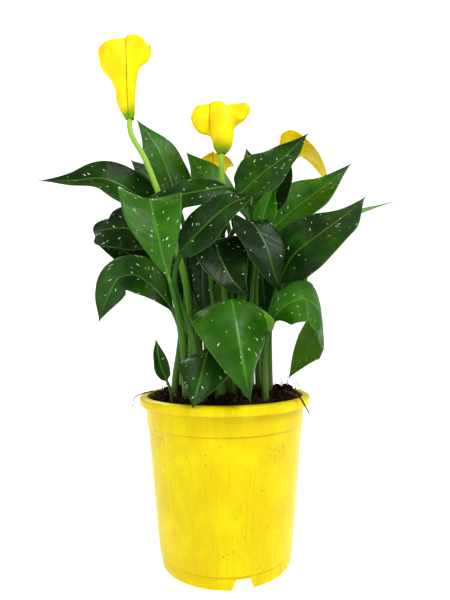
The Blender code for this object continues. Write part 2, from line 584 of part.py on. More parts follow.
def pot_profile():
    """Half section of the pot, from the middle of its floor's underside round to the middle of its floor."""
    foot = BASE_RADIUS - LEDGE_DEPTH
    skirt = RIM_TOP - RIM_SKIRT
    return [
        (0.0, 0.0),
        (WELL_RADIUS, 0.0),
        (WELL_RADIUS + 2.5, LEDGE_HEIGHT - WALL),
        (foot - 2 * WALL, LEDGE_HEIGHT - WALL),
        (foot - 1.2 * WALL - 0.8, 0.0),
        (foot - 0.8, 0.0),
        (foot, LEDGE_HEIGHT - 0.6),
        (BASE_RADIUS, LEDGE_HEIGHT),
        (STEP_RADIUS, STEP_HEIGHT),
        (COLLAR_RADIUS, STEP_HEIGHT + 0.8),
        (outer_radius(skirt), skirt),
        (outer_radius(RIM_TOP) + 0.1, RIM_TOP - 2.2 * WALL),
        (RIM_RADIUS - WALL - 0.3, RIM_TOP - 2.2 * WALL),
        (RIM_RADIUS - WALL + 0.1, skirt),
        (RIM_RADIUS - 0.2, skirt),
        (RIM_RADIUS, RIM_TOP - 2.6),
        (RIM_RADIUS - 0.8, RIM_TOP - 0.8),
        (RIM_RADIUS - 2.6, RIM_TOP),
        (inner_radius(RIM_TOP) + 1.6, RIM_TOP),
        (inner_radius(RIM_TOP), RIM_TOP - 1.6),
        (inner_radius(STEP_HEIGHT), STEP_HEIGHT - 0.5),
        (inner_radius(STEP_HEIGHT - 2), STEP_HEIGHT - 2),
        (inner_radius(LEDGE_HEIGHT) + 0.2, LEDGE_HEIGHT + 2.5),
        (inner_radius(LEDGE_HEIGHT) - 2.3, LEDGE_HEIGHT),
        (WELL_RADIUS + 1.3, LEDGE_HEIGHT),
        (WELL_RADIUS - 1.2, WALL),
        (0.0, WALL),
    ]


def build_pot(finish):
    mesh = bpy.data.meshes.new("pot")
    shape = bmesh.new()
    profile = [shape.verts.new((MM * radius, 0.0, MM * height)) for radius, height in pot_profile()]
    edges = [shape.edges.new(pair) for pair in zip(profile, profile[1:])]
    bmesh.ops.spin(shape, geom=profile + edges, axis=(0, 0, 1), cent=(0, 0, 0), angle=2 * math.pi,
                   steps=POT_SIDES, use_merge=True)
    bmesh.ops.remove_doubles(shape, verts=shape.verts, dist=0.02 * MM)
    bmesh.ops.recalc_face_normals(shape, faces=shape.faces)
    shape.to_mesh(mesh)
    shape.free()
    pot = bpy.data.objects.new("pot", mesh)
    pot.data.materials.append(finish)
    bpy.context.scene.collection.objects.link(pot)
    for number in range(NOTCHES):
        cut(pot, notch_cutter(NOTCH_TURN + 2 * math.pi * number / NOTCHES, number))
    for number in range(DRAIN_HOLES):
        cut(pot, drain_cutter(2 * math.pi * (number + 0.5) / DRAIN_HOLES, number))
    return pot


def cut(target, cutter):
    cutter.hide_render = True
    cutter.display_type = "WIRE"
    boolean = target.modifiers.new("Cut " + cutter.name, "BOOLEAN")
    boolean.object = cutter
    boolean.operation = "DIFFERENCE"


def notch_cutter(turn, number):
    """A wedge across the foot ring, wider at the bottom, that lets water out."""
    inner, outer = BASE_RADIUS - 9.0, BASE_RADIUS + 4.0
    low, high = -3.0, LEDGE_HEIGHT - WALL - 0.4
    slope = (NOTCH_WIDTH_BOTTOM - NOTCH_WIDTH_TOP) / high
    points = []
    for radius in (inner, outer):
        for height in (low, high):
            half = 0.5 * (NOTCH_WIDTH_TOP + slope * (high - height))
            points += [(radius, -half, height), (radius, half, height)]
    faces = [(0, 1, 3, 2), (4, 6, 7, 5), (0, 2, 6, 4), (1, 5, 7, 3), (0, 4, 5, 1), (2, 3, 7, 6)]
    cutter = add_object(f"notch_cutter_{number}", points, faces, bpy.data.materials["pot_plastic"])
    cutter.rotation_euler = (0.0, 0.0, turn)
    return cutter


def drain_cutter(turn, number):
    """A round hole through the step of the floor, so that both its levels drain."""
    corners = [2 * math.pi * side / DRAIN_SIDES for side in range(DRAIN_SIDES)]
    points, faces = bridged([
        [(WELL_RADIUS + DRAIN_RADIUS * math.cos(corner), DRAIN_RADIUS * math.sin(corner), height)
         for corner in corners]
        for height in (-2.0, LEDGE_HEIGHT + 2.0)
    ])
    cutter = add_object(f"drain_cutter_{number}", points, faces, bpy.data.materials["pot_plastic"])
    cutter.rotation_euler = (0.0, 0.0, turn)
    return cutter


def main():
    clear_scene()
    yellow = material("pot_plastic", (0.88, 0.72, 0.005), 0.35)
    peat = material("peat", (0.022, 0.012, 0.008), 0.95)
    green = material("leaf_green", (0.035, 0.12, 0.02), 0.35)
    stalk = material("stem_green", (0.22, 0.42, 0.06), 0.45)
    petal = material("spathe_yellow", (0.95, 0.80, 0.01), 0.5)
    pollen = material("spadix_yellow", (0.90, 0.52, 0.02), 0.7)
    root = material("root_brown", (0.10, 0.05, 0.03), 0.85)
    build_pot(yellow)
    build_soil(peat)
    for name, leaf in LEAVES.items():
        build_leaf(name, leaf, green)
    for name, flower in FLOWERS.items():
        build_stem(name, flower, stalk)
        build_spathe(name, flower, petal)
        build_spadix(name, flower, pollen)
    for name, fibre in FIBRES.items():
        build_fibre(name, fibre, root)


main()
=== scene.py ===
# %% [markdown]
# # A potted calla lily
# This lesson dresses a plain solid model of a potted calla lily: a moulded pot, the peat in it, 28 leaves
# and four rolled flowers. The solid model comes in as a fixed frame, and each piece made here stands in for
# one of its solids, in the same place and at the same size. Lengths of the plant are written in
# millimetres, because a grower thinks in them, and every mesh is in metres.

# %% Load the frame and keep its box
import json
import math

import bmesh
import bpy
import numpy as np
from mathutils import Matrix, Vector

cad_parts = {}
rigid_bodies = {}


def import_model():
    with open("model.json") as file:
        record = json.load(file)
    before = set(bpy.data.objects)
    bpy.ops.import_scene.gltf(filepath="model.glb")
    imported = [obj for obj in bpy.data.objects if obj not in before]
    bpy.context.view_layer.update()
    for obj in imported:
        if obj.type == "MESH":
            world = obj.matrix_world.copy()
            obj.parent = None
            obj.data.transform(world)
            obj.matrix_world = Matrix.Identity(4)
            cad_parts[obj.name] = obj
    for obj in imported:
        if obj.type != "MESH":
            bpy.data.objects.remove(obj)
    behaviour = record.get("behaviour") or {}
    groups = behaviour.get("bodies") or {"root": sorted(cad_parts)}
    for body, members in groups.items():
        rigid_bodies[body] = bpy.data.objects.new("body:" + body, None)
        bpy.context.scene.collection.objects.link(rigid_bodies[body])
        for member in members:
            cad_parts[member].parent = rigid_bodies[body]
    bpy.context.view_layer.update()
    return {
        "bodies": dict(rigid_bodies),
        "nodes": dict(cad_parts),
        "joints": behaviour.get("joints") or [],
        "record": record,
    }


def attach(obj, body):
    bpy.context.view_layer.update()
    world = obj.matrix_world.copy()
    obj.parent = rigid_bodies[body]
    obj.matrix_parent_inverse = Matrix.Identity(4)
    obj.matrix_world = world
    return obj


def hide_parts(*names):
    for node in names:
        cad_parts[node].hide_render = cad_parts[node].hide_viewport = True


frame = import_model()
MM = 0.001

# %% [markdown]
# ## Camera, floor and light
# A plant on a table is looked at from a little above its pot, so the camera stands level with the lower
# leaves and tips up slightly. A short lens close by makes the nearest leaves loom, which gives a plant its
# depth. The floor is a wide pale disc that meets a pale sky, and most of the light is the sky itself: it is
# soft, so that glossy leaves show broad sheens and no hard points. Three soft lamps help it: the brightest,
# from the upper right in front, gives the flowers a bright side, a weak one at the left fills the shade,
# and one behind lights the edges.

# %% Camera
CAMERA_PLACE = Vector((0.0, -0.440, 0.21525))
TIPPED_UP, TURNED_RIGHT, ROLLED = (math.radians(angle) for angle in (4.58, 0.14, -0.54))
lens = bpy.data.cameras.new("plant_camera")
lens.sensor_fit = "VERTICAL"
lens.sensor_width = lens.sensor_height = 36.0
lens.lens = 25.6
lens.clip_start, lens.clip_end = 0.02, 60.0
forward = Vector((math.sin(TURNED_RIGHT) * math.cos(TIPPED_UP), math.cos(TURNED_RIGHT) * math.cos(TIPPED_UP),
                  math.sin(TIPPED_UP)))
level = Vector((math.cos(TURNED_RIGHT), -math.sin(TURNED_RIGHT), 0.0))
upward = level.cross(forward)
side = level * math.cos(ROLLED) + upward * math.sin(ROLLED)
top = upward * math.cos(ROLLED) - level * math.sin(ROLLED)
camera = bpy.data.objects.new("plant_camera", lens)
camera.matrix_world = Matrix.Translation(CAMERA_PLACE) @ Matrix((side, top, -forward)).transposed().to_4x4()
bpy.context.scene.collection.objects.link(camera)
bpy.context.scene.camera = camera
print("camera looks along", [round(value, 3) for value in forward])

# %% Sky and lamps
SKY_SEEN, SKY_LIGHT = 1.05, 0.42
sky = bpy.data.worlds.new("studio_sky")
bpy.context.scene.world = sky
sky.use_nodes = True
backdrop = sky.node_tree.nodes["Background"]
seen = sky.node_tree.nodes.new("ShaderNodeLightPath")
strength = sky.node_tree.nodes.new("ShaderNodeMapRange")
strength.inputs["To Min"].default_value = SKY_LIGHT
strength.inputs["To Max"].default_value = SKY_SEEN
sky.node_tree.links.new(seen.outputs["Is Camera Ray"], strength.inputs["Value"])
sky.node_tree.links.new(strength.outputs["Result"], backdrop.inputs["Strength"])
backdrop.inputs["Color"].default_value = (1.0, 1.0, 1.0, 1.0)
bpy.context.scene.view_settings.view_transform = "Standard"
bpy.context.scene.view_settings.look = "Medium High Contrast"


def softbox(name, place, aim, size, watts):
    """A square lamp that looks from its place towards a point."""
    lamp = bpy.data.lights.new(name, "AREA")
    lamp.shape, lamp.size, lamp.energy = "SQUARE", size, watts
    made = bpy.data.objects.new(name, lamp)
    made.location = place
    made.rotation_mode = "QUATERNION"
    made.rotation_quaternion = (Vector(aim) - Vector(place)).to_track_quat("-Z", "Y")
    bpy.context.scene.collection.objects.link(made)


softbox("key_softbox", (0.9, -0.9, 1.5), (0.0, 0.0, 0.3), 0.8, 20.0)
softbox("fill_softbox", (-1.2, -0.9, 0.9), (0.0, 0.0, 0.25), 0.9, 5.0)
softbox("rim_softbox", (-0.6, 1.3, 1.3), (0.0, 0.0, 0.3), 0.9, 14.0)

# %% [markdown]
# ## Writing node trees as arithmetic
# A material that varies over a surface is a sum of small rules: a vein is a ripple, a speck is a cell that
# is closer to its middle than some distance. Drawn as nodes those rules are hard to read, so a small class
# here wraps a socket and lets ordinary Python arithmetic place the Math nodes. The same class writes the
# Geometry Nodes trees.

# %% A socket that can be added and multiplied
class Wire:
    """An output socket in a node tree. Arithmetic on it places Math nodes, and put() any other node."""

    def __init__(self, tree, socket):
        self.tree = tree
        self.socket = socket

    def put(self, kind, values=None, out=0, **settings):
        """A node of this type with its settings. Inputs go by name or number, and are numbers or wires."""
        node = self.tree.nodes.new(kind)
        for key, value in settings.items():
            setattr(node, key, value)
        for key, value in (values or {}).items():
            join(self.tree, value, node.inputs[key])
        return Wire(self.tree, node.outputs[out])

    def maths(self, operation, *others):
        return self.put("ShaderNodeMath", dict(enumerate((self, *others))), operation=operation)

    def __add__(self, other):
        return self.maths("ADD", other)

    __radd__ = __add__

    def __sub__(self, other):
        return self.maths("SUBTRACT", other)

    def __rsub__(self, other):
        return self.put("ShaderNodeMath", {0: other, 1: self}, operation="SUBTRACT")

    def __mul__(self, other):
        return self.maths("MULTIPLY", other)

    __rmul__ = __mul__

    def __truediv__(self, other):
        return self.maths("DIVIDE", other)

    def __rtruediv__(self, other):
        return self.put("ShaderNodeMath", {0: other, 1: self}, operation="DIVIDE")

    def __pow__(self, other):
        return self.maths("POWER", other)

    def __abs__(self):
        return self.maths("ABSOLUTE")

    def wave(self):
        return self.maths("SINE")

    def between(self, low, high):
        """0 below low, 1 above high, and smooth in between. low may be the larger, which turns it round."""
        return self.put("ShaderNodeMapRange", {"Value": self, "From Min": low, "From Max": high},
                        interpolation_type="SMOOTHSTEP")

    def blend(self, first, second):
        """The first colour where this is 0 and the second where it is 1."""
        return self.put("ShaderNodeMix", {0: self, 6: first, 7: second}, out=2, data_type="RGBA")

    def part(self, axis):
        return self.put("ShaderNodeSeparateXYZ", {0: self}, out="XYZ".index(axis))

    def scaled(self, x, y, z):
        return self.put("ShaderNodeVectorMath", {0: self, 1: (x, y, z)}, operation="MULTIPLY")

    def noise(self, scale, detail=2.0, roughness=0.5):
        return self.put("ShaderNodeTexNoise", {"Vector": self, "Scale": scale, "Detail": detail,
                                               "Roughness": roughness})


def join(tree, value, socket):
    if isinstance(value, Wire):
        tree.links.new(value.socket, socket)
    elif socket.type == "RGBA" and len(value) == 3:
        socket.default_value = (*value, 1.0)
    else:
        socket.default_value = value


def vector_of(x, y, z):
    """A vector whose parts are wires or numbers, at least x a wire."""
    return x.put("ShaderNodeCombineXYZ", {0: x, 1: y, 2: z})


class Finish:
    """A Principled material being written: what varies over the surface arrives as wires."""

    def __init__(self, name, **constants):
        self.material = bpy.data.materials.new(name)
        self.material.use_nodes = True
        self.tree = self.material.node_tree
        self.shader = self.tree.nodes["Principled BSDF"]
        for socket, value in constants.items():
            join(self.tree, value, self.shader.inputs[socket.replace("_", " ")])

    def source(self, kind, out, **settings):
        node = self.tree.nodes.new(kind)
        for key, value in settings.items():
            setattr(node, key, value)
        return Wire(self.tree, node.outputs[out])

    def place(self):
        """Place on the object in millimetres."""
        return self.source("ShaderNodeTexCoord", "Object").scaled(1000, 1000, 1000)

    def value(self, attribute):
        return self.source("ShaderNodeAttribute", "Fac", attribute_name=attribute)

    def finish(self, colour, roughness, height, depth_mm):
        """Joins the colour, the roughness and a bump of this depth to the shader."""
        join(self.tree, colour, self.shader.inputs["Base Color"])
        join(self.tree, roughness, self.shader.inputs["Roughness"])
        bump = height.put("ShaderNodeBump", {"Height": height, "Distance": depth_mm * MM, "Strength": 1.0})
        join(self.tree, bump, self.shader.inputs["Normal"])
        return self.material


print("node helpers ready")

# %% [markdown]
# ## Making meshes
# Every piece is a mesh whose place is in its points, with its object at the origin, as the frame's solids
# are. A piece that grows along a route is a stack of rings, and one function bridges the rings into a
# closed skin.

# %% Mesh helpers
def add_piece(name, points, faces, finish, stands_for):
    """A mesh object from points in millimetres, on the root body, in place of a solid of the frame."""
    mesh = bpy.data.meshes.new(name)
    mesh.from_pydata([tuple(MM * value for value in point) for point in points], [], faces)
    made = bpy.data.objects.new(name, mesh)
    bpy.context.scene.collection.objects.link(made)
    mesh.materials.append(finish)
    turn_outwards(mesh)
    mesh.shade_smooth()
    return claim(made, stands_for)


def turn_outwards(mesh):
    shape = bmesh.new()
    shape.from_mesh(mesh)
    bmesh.ops.recalc_face_normals(shape, faces=shape.faces)
    shape.to_mesh(mesh)
    shape.free()


def claim(made, stands_for=None):
    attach(made, "root")
    if stands_for:
        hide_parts(stands_for)
    return made


def store(made, name, values):
    """A number for each point of a piece, which its material reads by name."""
    made.data.attributes.new(name, "FLOAT", "POINT").data.foreach_set("value", np.asarray(values, np.float32))


def bridged(rings):
    """Points and faces of a tube through rings of equally many points, with both ends capped."""
    sides = len(rings[0])
    faces = [tuple(range(sides)), tuple((len(rings) - 1) * sides + side for side in range(sides))]
    for ring in range(len(rings) - 1):
        for side in range(sides):
            here, beside = ring * sides + side, ring * sides + (side + 1) % sides
            faces.append((here, beside, beside + sides, here + sides))
    return [point for ring in rings for point in ring], faces


def apply_modifiers(made):
    """Puts what a piece's modifiers make into its mesh, and takes them off."""
    graph = bpy.context.evaluated_depsgraph_get()
    made.data = bpy.data.meshes.new_from_object(made.evaluated_get(graph))
    made.modifiers.clear()


print("mesh helpers ready")

# %% Geometry Nodes helper
def new_recipe(name, sizes):
    """An empty Geometry Nodes tree with a geometry input and one named number for each size."""
    tree = bpy.data.node_groups.new(name, "GeometryNodeTree")
    tree.interface.new_socket("Geometry", in_out="INPUT", socket_type="NodeSocketGeometry")
    for size, usual in sizes.items():
        tree.interface.new_socket(size, in_out="INPUT", socket_type="NodeSocketFloat").default_value = usual
    tree.interface.new_socket("Geometry", in_out="OUTPUT", socket_type="NodeSocketGeometry")
    given = tree.nodes.new("NodeGroupInput")
    return tree, {socket.name: Wire(tree, socket) for socket in given.outputs if socket.name}


def end_recipe(shape, finish):
    """Realises what the tree made, gives it its finish and sends it out."""
    whole = shape.put("GeometryNodeRealizeInstances", {0: shape})
    coated = whole.put("GeometryNodeSetMaterial", {"Geometry": whole, "Material": finish})
    join(shape.tree, coated, shape.tree.nodes.new("NodeGroupOutput").inputs[0])


def made_by(recipe, name, start, sizes, stands_for=None, smooth=True):
    """A piece that the recipe makes from a starting curve or mesh, as a plain mesh."""
    worker = bpy.data.objects.new(name + "_start", start)
    bpy.context.scene.collection.objects.link(worker)
    modifier = worker.modifiers.new(recipe.name, "NODES")
    modifier.node_group = recipe
    for socket in recipe.interface.items_tree:
        if socket.in_out == "INPUT" and socket.name in sizes:
            modifier[socket.identifier] = float(sizes[socket.name])
    graph = bpy.context.evaluated_depsgraph_get()
    mesh = bpy.data.meshes.new_from_object(worker.evaluated_get(graph))
    bpy.data.objects.remove(worker, do_unlink=True)
    finish = mesh.materials[-1]
    mesh.materials.clear()
    mesh.materials.append(finish)
    mesh.polygons.foreach_set("material_index", [0] * len(mesh.polygons))
    mesh.shade_smooth() if smooth else mesh.shade_flat()
    made = bpy.data.objects.new(name, mesh)
    bpy.context.scene.collection.objects.link(made)
    return claim(made, stands_for)


print("recipe helpers ready")

# %% [markdown]
# ## The floor
# The floor is a plain pale disc. It is so bright that it meets the sky without a line, and keeps only a
# soft shade round the foot of the pot.

# %% Floor
FLOOR_RADIUS, FLOOR_SIDES = 9.0, 96
floor_finish = Finish("pale_floor", Base_Color=(0.62, 0.62, 0.62), Roughness=0.7, Specular_IOR_Level=0.0,
                      Emission_Color=(1.0, 1.0, 1.0), Emission_Strength=0.72)
floor_mesh = bpy.data.meshes.new("floor")
floor_mesh.from_pydata([(FLOOR_RADIUS * math.cos(turn), FLOOR_RADIUS * math.sin(turn), 0.0)
                        for turn in np.linspace(0, 2 * math.pi, FLOOR_SIDES + 1)[:-1]],
                       [], [tuple(range(FLOOR_SIDES))])
floor_mesh.materials.append(floor_finish.material)
floor = bpy.data.objects.new("floor", floor_mesh)
bpy.context.scene.collection.objects.link(floor)
print("floor across in m:", 2 * FLOOR_RADIUS)

# %% [markdown]
# ## The pot
# A nursery pot is blown or moulded from thin plastic and is round all over, so its half section is turned
# about the upright axis. The section is drawn once, from the underside out, up the wall, over the rolled
# rim and down inside. The four foot notches and the drain holes are cut afterwards, as their tools would,
# with Boolean modifiers.

# %% Section of the pot
RIM_RADIUS, RIM_TOP, RIM_SKIRT = 85.0, 155.9, 8.4
COLLAR_RADIUS, STEP_HEIGHT, STEP_RADIUS = 77.6, 128.8, 76.6
BASE_RADIUS, LEDGE_HEIGHT, LEDGE_DEPTH = 65.0, 11.2, 1.2
WALL, WELL_RADIUS = 1.8, 32.0


def outer_radius(height):
    """Outside of the pot's wall, which widens upwards."""
    if height >= STEP_HEIGHT:
        return COLLAR_RADIUS + 0.045 * (height - STEP_HEIGHT)
    return BASE_RADIUS + (STEP_RADIUS - BASE_RADIUS) * (height - LEDGE_HEIGHT) / (STEP_HEIGHT - LEDGE_HEIGHT)


def inner_radius(height):
    if height >= STEP_HEIGHT - 1.5:
        return COLLAR_RADIUS + 0.045 * (height - STEP_HEIGHT) - WALL
    return outer_radius(height) - WALL


def arc(middle, radius, first, last, steps):
    """Points on an arc of the section, its angles in degrees from straight out."""
    angles = [math.radians(first + (last - first) * step / steps) for step in range(steps + 1)]
    return [(middle[0] + radius * math.cos(angle), middle[1] + radius * math.sin(angle)) for angle in angles]


foot, skirt = BASE_RADIUS - LEDGE_DEPTH, RIM_TOP - RIM_SKIRT
floor_low = LEDGE_HEIGHT - WALL
section = [(0.0, 0.0), *arc((WELL_RADIUS - 0.6, 0.6), 0.6, -90, -15, 3), (WELL_RADIUS + 2.0, floor_low - 0.6),
           (WELL_RADIUS + 2.6, floor_low), (foot - 2 * WALL - 0.6, floor_low),
           (foot - 2 * WALL, floor_low - 0.6), (foot - 1.2 * WALL - 0.8, 0.3),
           (foot - 1.2 * WALL - 0.5, 0.0), *arc((foot - 1.4, 0.7), 0.7, -90, 5, 4),
           *arc((foot - 0.4, LEDGE_HEIGHT - 1.0), 0.5, 0, 60, 3),
           *arc((BASE_RADIUS - 0.6, LEDGE_HEIGHT + 0.4), 0.6, -80, 5, 4)]
section += [(outer_radius(height), height) for height in (30.0, 60.0, 90.0, STEP_HEIGHT - 1.2)]
section += [*arc((STEP_RADIUS + 0.5, STEP_HEIGHT - 0.7), 0.5, 180, 120, 3),
            *arc((COLLAR_RADIUS - 0.5, STEP_HEIGHT + 0.9), 0.5, -70, 0, 3),
            (outer_radius(138.0), 138.0), (outer_radius(skirt), skirt),
            (outer_radius(RIM_TOP) + 0.1, RIM_TOP - 4.4), (outer_radius(RIM_TOP) + 0.5, RIM_TOP - 4.0),
            (RIM_RADIUS - WALL - 0.9, RIM_TOP - 4.0),
            (RIM_RADIUS - WALL - 0.3, RIM_TOP - 4.6), (RIM_RADIUS - WALL - 0.1, skirt + 0.4),
            *arc((RIM_RADIUS - 1.0, skirt + 0.7), 0.7, -140, 0, 5),
            *arc((RIM_RADIUS - 3.2, RIM_TOP - 3.2), 3.2, 0, 90, 10),
            *arc((inner_radius(RIM_TOP) + 1.8, RIM_TOP - 1.8), 1.8, 90, 180, 6),
            (inner_radius(140.0), 140.0), (inner_radius(STEP_HEIGHT), STEP_HEIGHT - 0.5),
            (inner_radius(STEP_HEIGHT - 2), STEP_HEIGHT - 2.2), (inner_radius(70.0), 70.0),
            *arc((inner_radius(LEDGE_HEIGHT) - 1.6, LEDGE_HEIGHT + 1.8), 1.8, 5, -90, 5),
            (WELL_RADIUS + 1.6, LEDGE_HEIGHT), (WELL_RADIUS + 1.0, LEDGE_HEIGHT - 0.6),
            (WELL_RADIUS - 1.0, WALL + 0.4), (WELL_RADIUS - 1.5, WALL), (0.0, WALL)]
print("points in the pot's section:", len(section))

# %% Turn the section and cut the notches and drain holes
POT_SIDES, NOTCHES, DRAIN_HOLES = 144, 4, 6
NOTCH_TURN = math.radians(-77)


def cutter(name, points, faces, turn):
    """A closed tool that is turned about the pot's axis and then only used for cutting."""
    mesh = bpy.data.meshes.new(name)
    turned = Matrix.Rotation(turn, 3, "Z")
    mesh.from_pydata([MM * (turned @ Vector(point)) for point in points], [], faces)
    made = bpy.data.objects.new(name, mesh)
    bpy.context.scene.collection.objects.link(made)
    turn_outwards(mesh)
    return made


def notch_tool(number):
    points = []
    for radius in (BASE_RADIUS - 9.0, BASE_RADIUS + 4.0):
        for height, half in ((-3.0, 10.5), (floor_low - 1.4, 6.9), (floor_low - 0.4, 5.9)):
            points += [(radius, -half, height), (radius, half, height)]
    faces = [(0, 1, 3, 5, 4, 2), (6, 8, 10, 11, 9, 7), (0, 2, 8, 6), (2, 4, 10, 8), (1, 7, 9, 3),
             (3, 9, 11, 5), (0, 6, 7, 1), (4, 5, 11, 10)]
    return cutter(f"notch_tool_{number}", points, faces, NOTCH_TURN + 2 * math.pi * number / NOTCHES)


def drain_tool(number):
    turns = np.linspace(0, 2 * math.pi, 25)[:-1]
    points, faces = bridged([[(WELL_RADIUS + 4.5 * math.cos(turn), 4.5 * math.sin(turn), height)
                              for turn in turns] for height in (-2.0, LEDGE_HEIGHT + 2.0)])
    return cutter(f"drain_tool_{number}", points, faces, 2 * math.pi * (number + 0.5) / DRAIN_HOLES)


def turned_pot(finish):
    turns = np.linspace(0, 2 * math.pi, POT_SIDES + 1)[:-1]
    rings = [[(radius * math.cos(turn), radius * math.sin(turn), height) for turn in turns]
             for radius, height in section[1:-1]]
    points, faces = bridged(rings)
    pot = add_piece("pot_shell", points, faces, finish, "pot")
    tools = [notch_tool(number) for number in range(NOTCHES)]
    tools += [drain_tool(number) for number in range(DRAIN_HOLES)]
    for tool in tools:
        cut = pot.modifiers.new(tool.name, "BOOLEAN")
        cut.operation, cut.solver, cut.object = "DIFFERENCE", "EXACT", tool
    apply_modifiers(pot)
    for tool in tools:
        bpy.data.objects.remove(tool, do_unlink=True)
    pot.data.shade_smooth()
    pot.data.set_sharp_from_angle(angle=math.radians(40))
    return pot


print("cuts in the pot:", NOTCHES + DRAIN_HOLES)

# %% [markdown]
# ### Its yellow plastic
# The plastic is dyed right through and has a satin face from the mould. Up close it is not even: faint
# cloudy swirls from the moulding, fine upright scuffs from stacking, and specks of peat that splashed on
# it. The specks are cells of a Voronoi pattern whose middles are close by.

# %% Yellow plastic
def pot_plastic():
    plastic = Finish("pot_plastic", IOR=1.46, Specular_IOR_Level=0.15, Coat_Weight=0.04, Coat_Roughness=0.22)
    place = plastic.place()
    swirls = place.noise(0.028, 4.0, 0.6)
    swirls = (place.scaled(1.0, 1.0, 0.6).noise(0.05, 5.0, 0.62) * 0.6 + swirls * 0.4).between(0.42, 0.62)
    scuffs = place.scaled(1.6, 1.6, 0.08).noise(0.9, 3.0, 0.6).between(0.66, 0.8)
    grains = place.put("ShaderNodeTexVoronoi", {"Vector": place, "Scale": 0.12})
    chosen = place.noise(0.035, 2.0).between(0.44, 0.56)
    specks = grains.between(0.10, 0.05) * chosen
    colour = swirls.blend((0.66, 0.51, 0.0), (0.72, 0.60, 0.0))
    colour = (scuffs * 0.2).blend(colour, (0.80, 0.66, 0.05))
    high = place.part("Z")
    # Dark brown speckled patches, in a band just below the collar and more weakly near the foot.
    under_collar = high.between(96.0, 118.0) * high.between(131.0, 127.0)
    patch = place.noise(0.022, 2.0).between(0.45, 0.6)
    patch_places = under_collar * 0.8 + high.between(30.0, 4.0) * 0.5
    dark_brown_patches = patch * place.noise(0.5, 4.0, 0.7).between(0.53, 0.60) * patch_places
    colour = (dark_brown_patches * 0.7).blend(colour, (0.22, 0.13, 0.01))
    # Painted shade: the yellow is darkened along the step and, more weakly, along the ledge, where shade
    # falls in the creases.
    painted_crease_shade = abs(high - STEP_HEIGHT).between(1.0, 0.35) + abs(high - LEDGE_HEIGHT).between(1.0, 0.35) * 0.6
    colour = (painted_crease_shade * 0.55).blend(colour, (0.36, 0.24, 0.0))
    streaks = place.scaled(1.3, 1.3, 0.05).noise(0.25, 4.0, 0.7).between(0.50, 0.66)
    colour = (streaks * 0.28).blend(colour, (0.52, 0.38, 0.0))
    colour = (specks * 0.75).blend(colour, (0.20, 0.11, 0.02))
    roughness = place.noise(0.08, 4.0, 0.6) * 0.16 + 0.26 + specks * 0.3
    height = place.noise(1.4, 3.0) * 0.4 + place.noise(0.06, 2.0) * 2.0 + specks * 1.0
    return plastic.finish(colour, roughness, height, 0.12)


pot = turned_pot(pot_plastic())
print("pot faces:", len(pot.data.polygons))

# %% [markdown]
# ## The peat
# Potting peat is a springy mass of dark crumbs and fibres. The body of it is one mound that fills the pot,
# roughened by noise. The crumbs on top are a Geometry Nodes recipe: points are scattered over the mound, a
# small rough ball is put on each with its own size and turn, and noise pushes the whole lot out of shape,
# so that no two stay alike.

# %% The mound
SOIL_LEVEL = 151.5
ROOTED = 7.0  # how far a stalk or stem runs on down into the peat


def soil_height(x, y):
    """Height of the peat's uneven top."""
    mound = 6.0 * math.cos(min(1.0, math.hypot(x, y) / 80.0) * math.pi / 2)
    lumps = 1.4 * math.sin(0.11 * x + 0.5) * math.cos(0.13 * y - 0.4)
    right = 8.0 * math.exp(-((x - 56) ** 2 + (y + 2) ** 2) / 420)
    left = 5.0 * math.exp(-((x + 56) ** 2 + (y - 4) ** 2) / 400)
    return SOIL_LEVEL + mound + lumps + right + left


def peat_finish():
    peat = Finish("peat", Specular_IOR_Level=0.12)
    place = peat.place()
    crumb = place.noise(0.35, 5.0, 0.65)
    colour = crumb.between(0.35, 0.72).blend((0.0045, 0.0024, 0.0018), (0.070, 0.034, 0.018))
    colour = place.noise(0.9, 3.0).between(0.62, 0.74).blend(colour, (0.10, 0.052, 0.028))
    return peat.finish(colour, crumb * 0.2 + 0.78, crumb + place.noise(2.0, 3.0) * 0.5, 1.2)


def peat_body(finish):
    turns = np.linspace(0, 2 * math.pi, 97)[:-1]
    floor_in = LEDGE_HEIGHT + 0.4
    sides = [(WELL_RADIUS - 1.9, WALL + 0.4), (WELL_RADIUS + 0.3, floor_in),
             *((inner_radius(height) - 0.6 - inset, height) for height, inset in
               ((floor_in, 3.5), (floor_in + 3.5, 0.6), (70.0, 0.0), (STEP_HEIGHT - 3, 0.0),
                (STEP_HEIGHT, 0.4), (SOIL_LEVEL - 6, 0.0)))]
    rings = [[(radius * math.cos(turn), radius * math.sin(turn), height) for turn in turns]
             for radius, height in sides]
    edge = inner_radius(SOIL_LEVEL) - 1.0
    for radius in np.linspace(edge, 1.0, 30):
        spots = [(radius * math.cos(turn), radius * math.sin(turn)) for turn in turns]
        rough = [0.9 * math.sin(0.7 * x + 1.3 * y) * math.sin(0.9 * y - 0.5 * x) for x, y in spots]
        rings.append([(x, y, soil_height(x, y) - 1.6 + lump) for (x, y), lump in zip(spots, rough)])
    points, faces = bridged(rings)
    return add_piece("peat_mound", points, faces, finish, "soil")


peat = peat_finish()
mound = peat_body(peat)
print("mound faces:", len(mound.data.polygons))

# %% Recipe for crumbs
def top_of_mound(name):
    """The open top of the mound, to scatter things on, up to just inside the pot's wall."""
    side = np.linspace(-76, 76, 60)
    points = [(MM * x, MM * y, MM * (soil_height(x, y) - 1.2)) for y in side for x in side]
    count = len(side)
    faces = []
    for row in range(count - 1):
        for column in range(count - 1):
            if math.hypot(0.5 * (side[column] + side[column + 1]), 0.5 * (side[row] + side[row + 1])) < 73.0:
                here = row * count + column
                faces.append((here, here + 1, here + count + 1, here + count))
    mesh = bpy.data.meshes.new(name)
    mesh.from_pydata(points, [], faces)
    return mesh


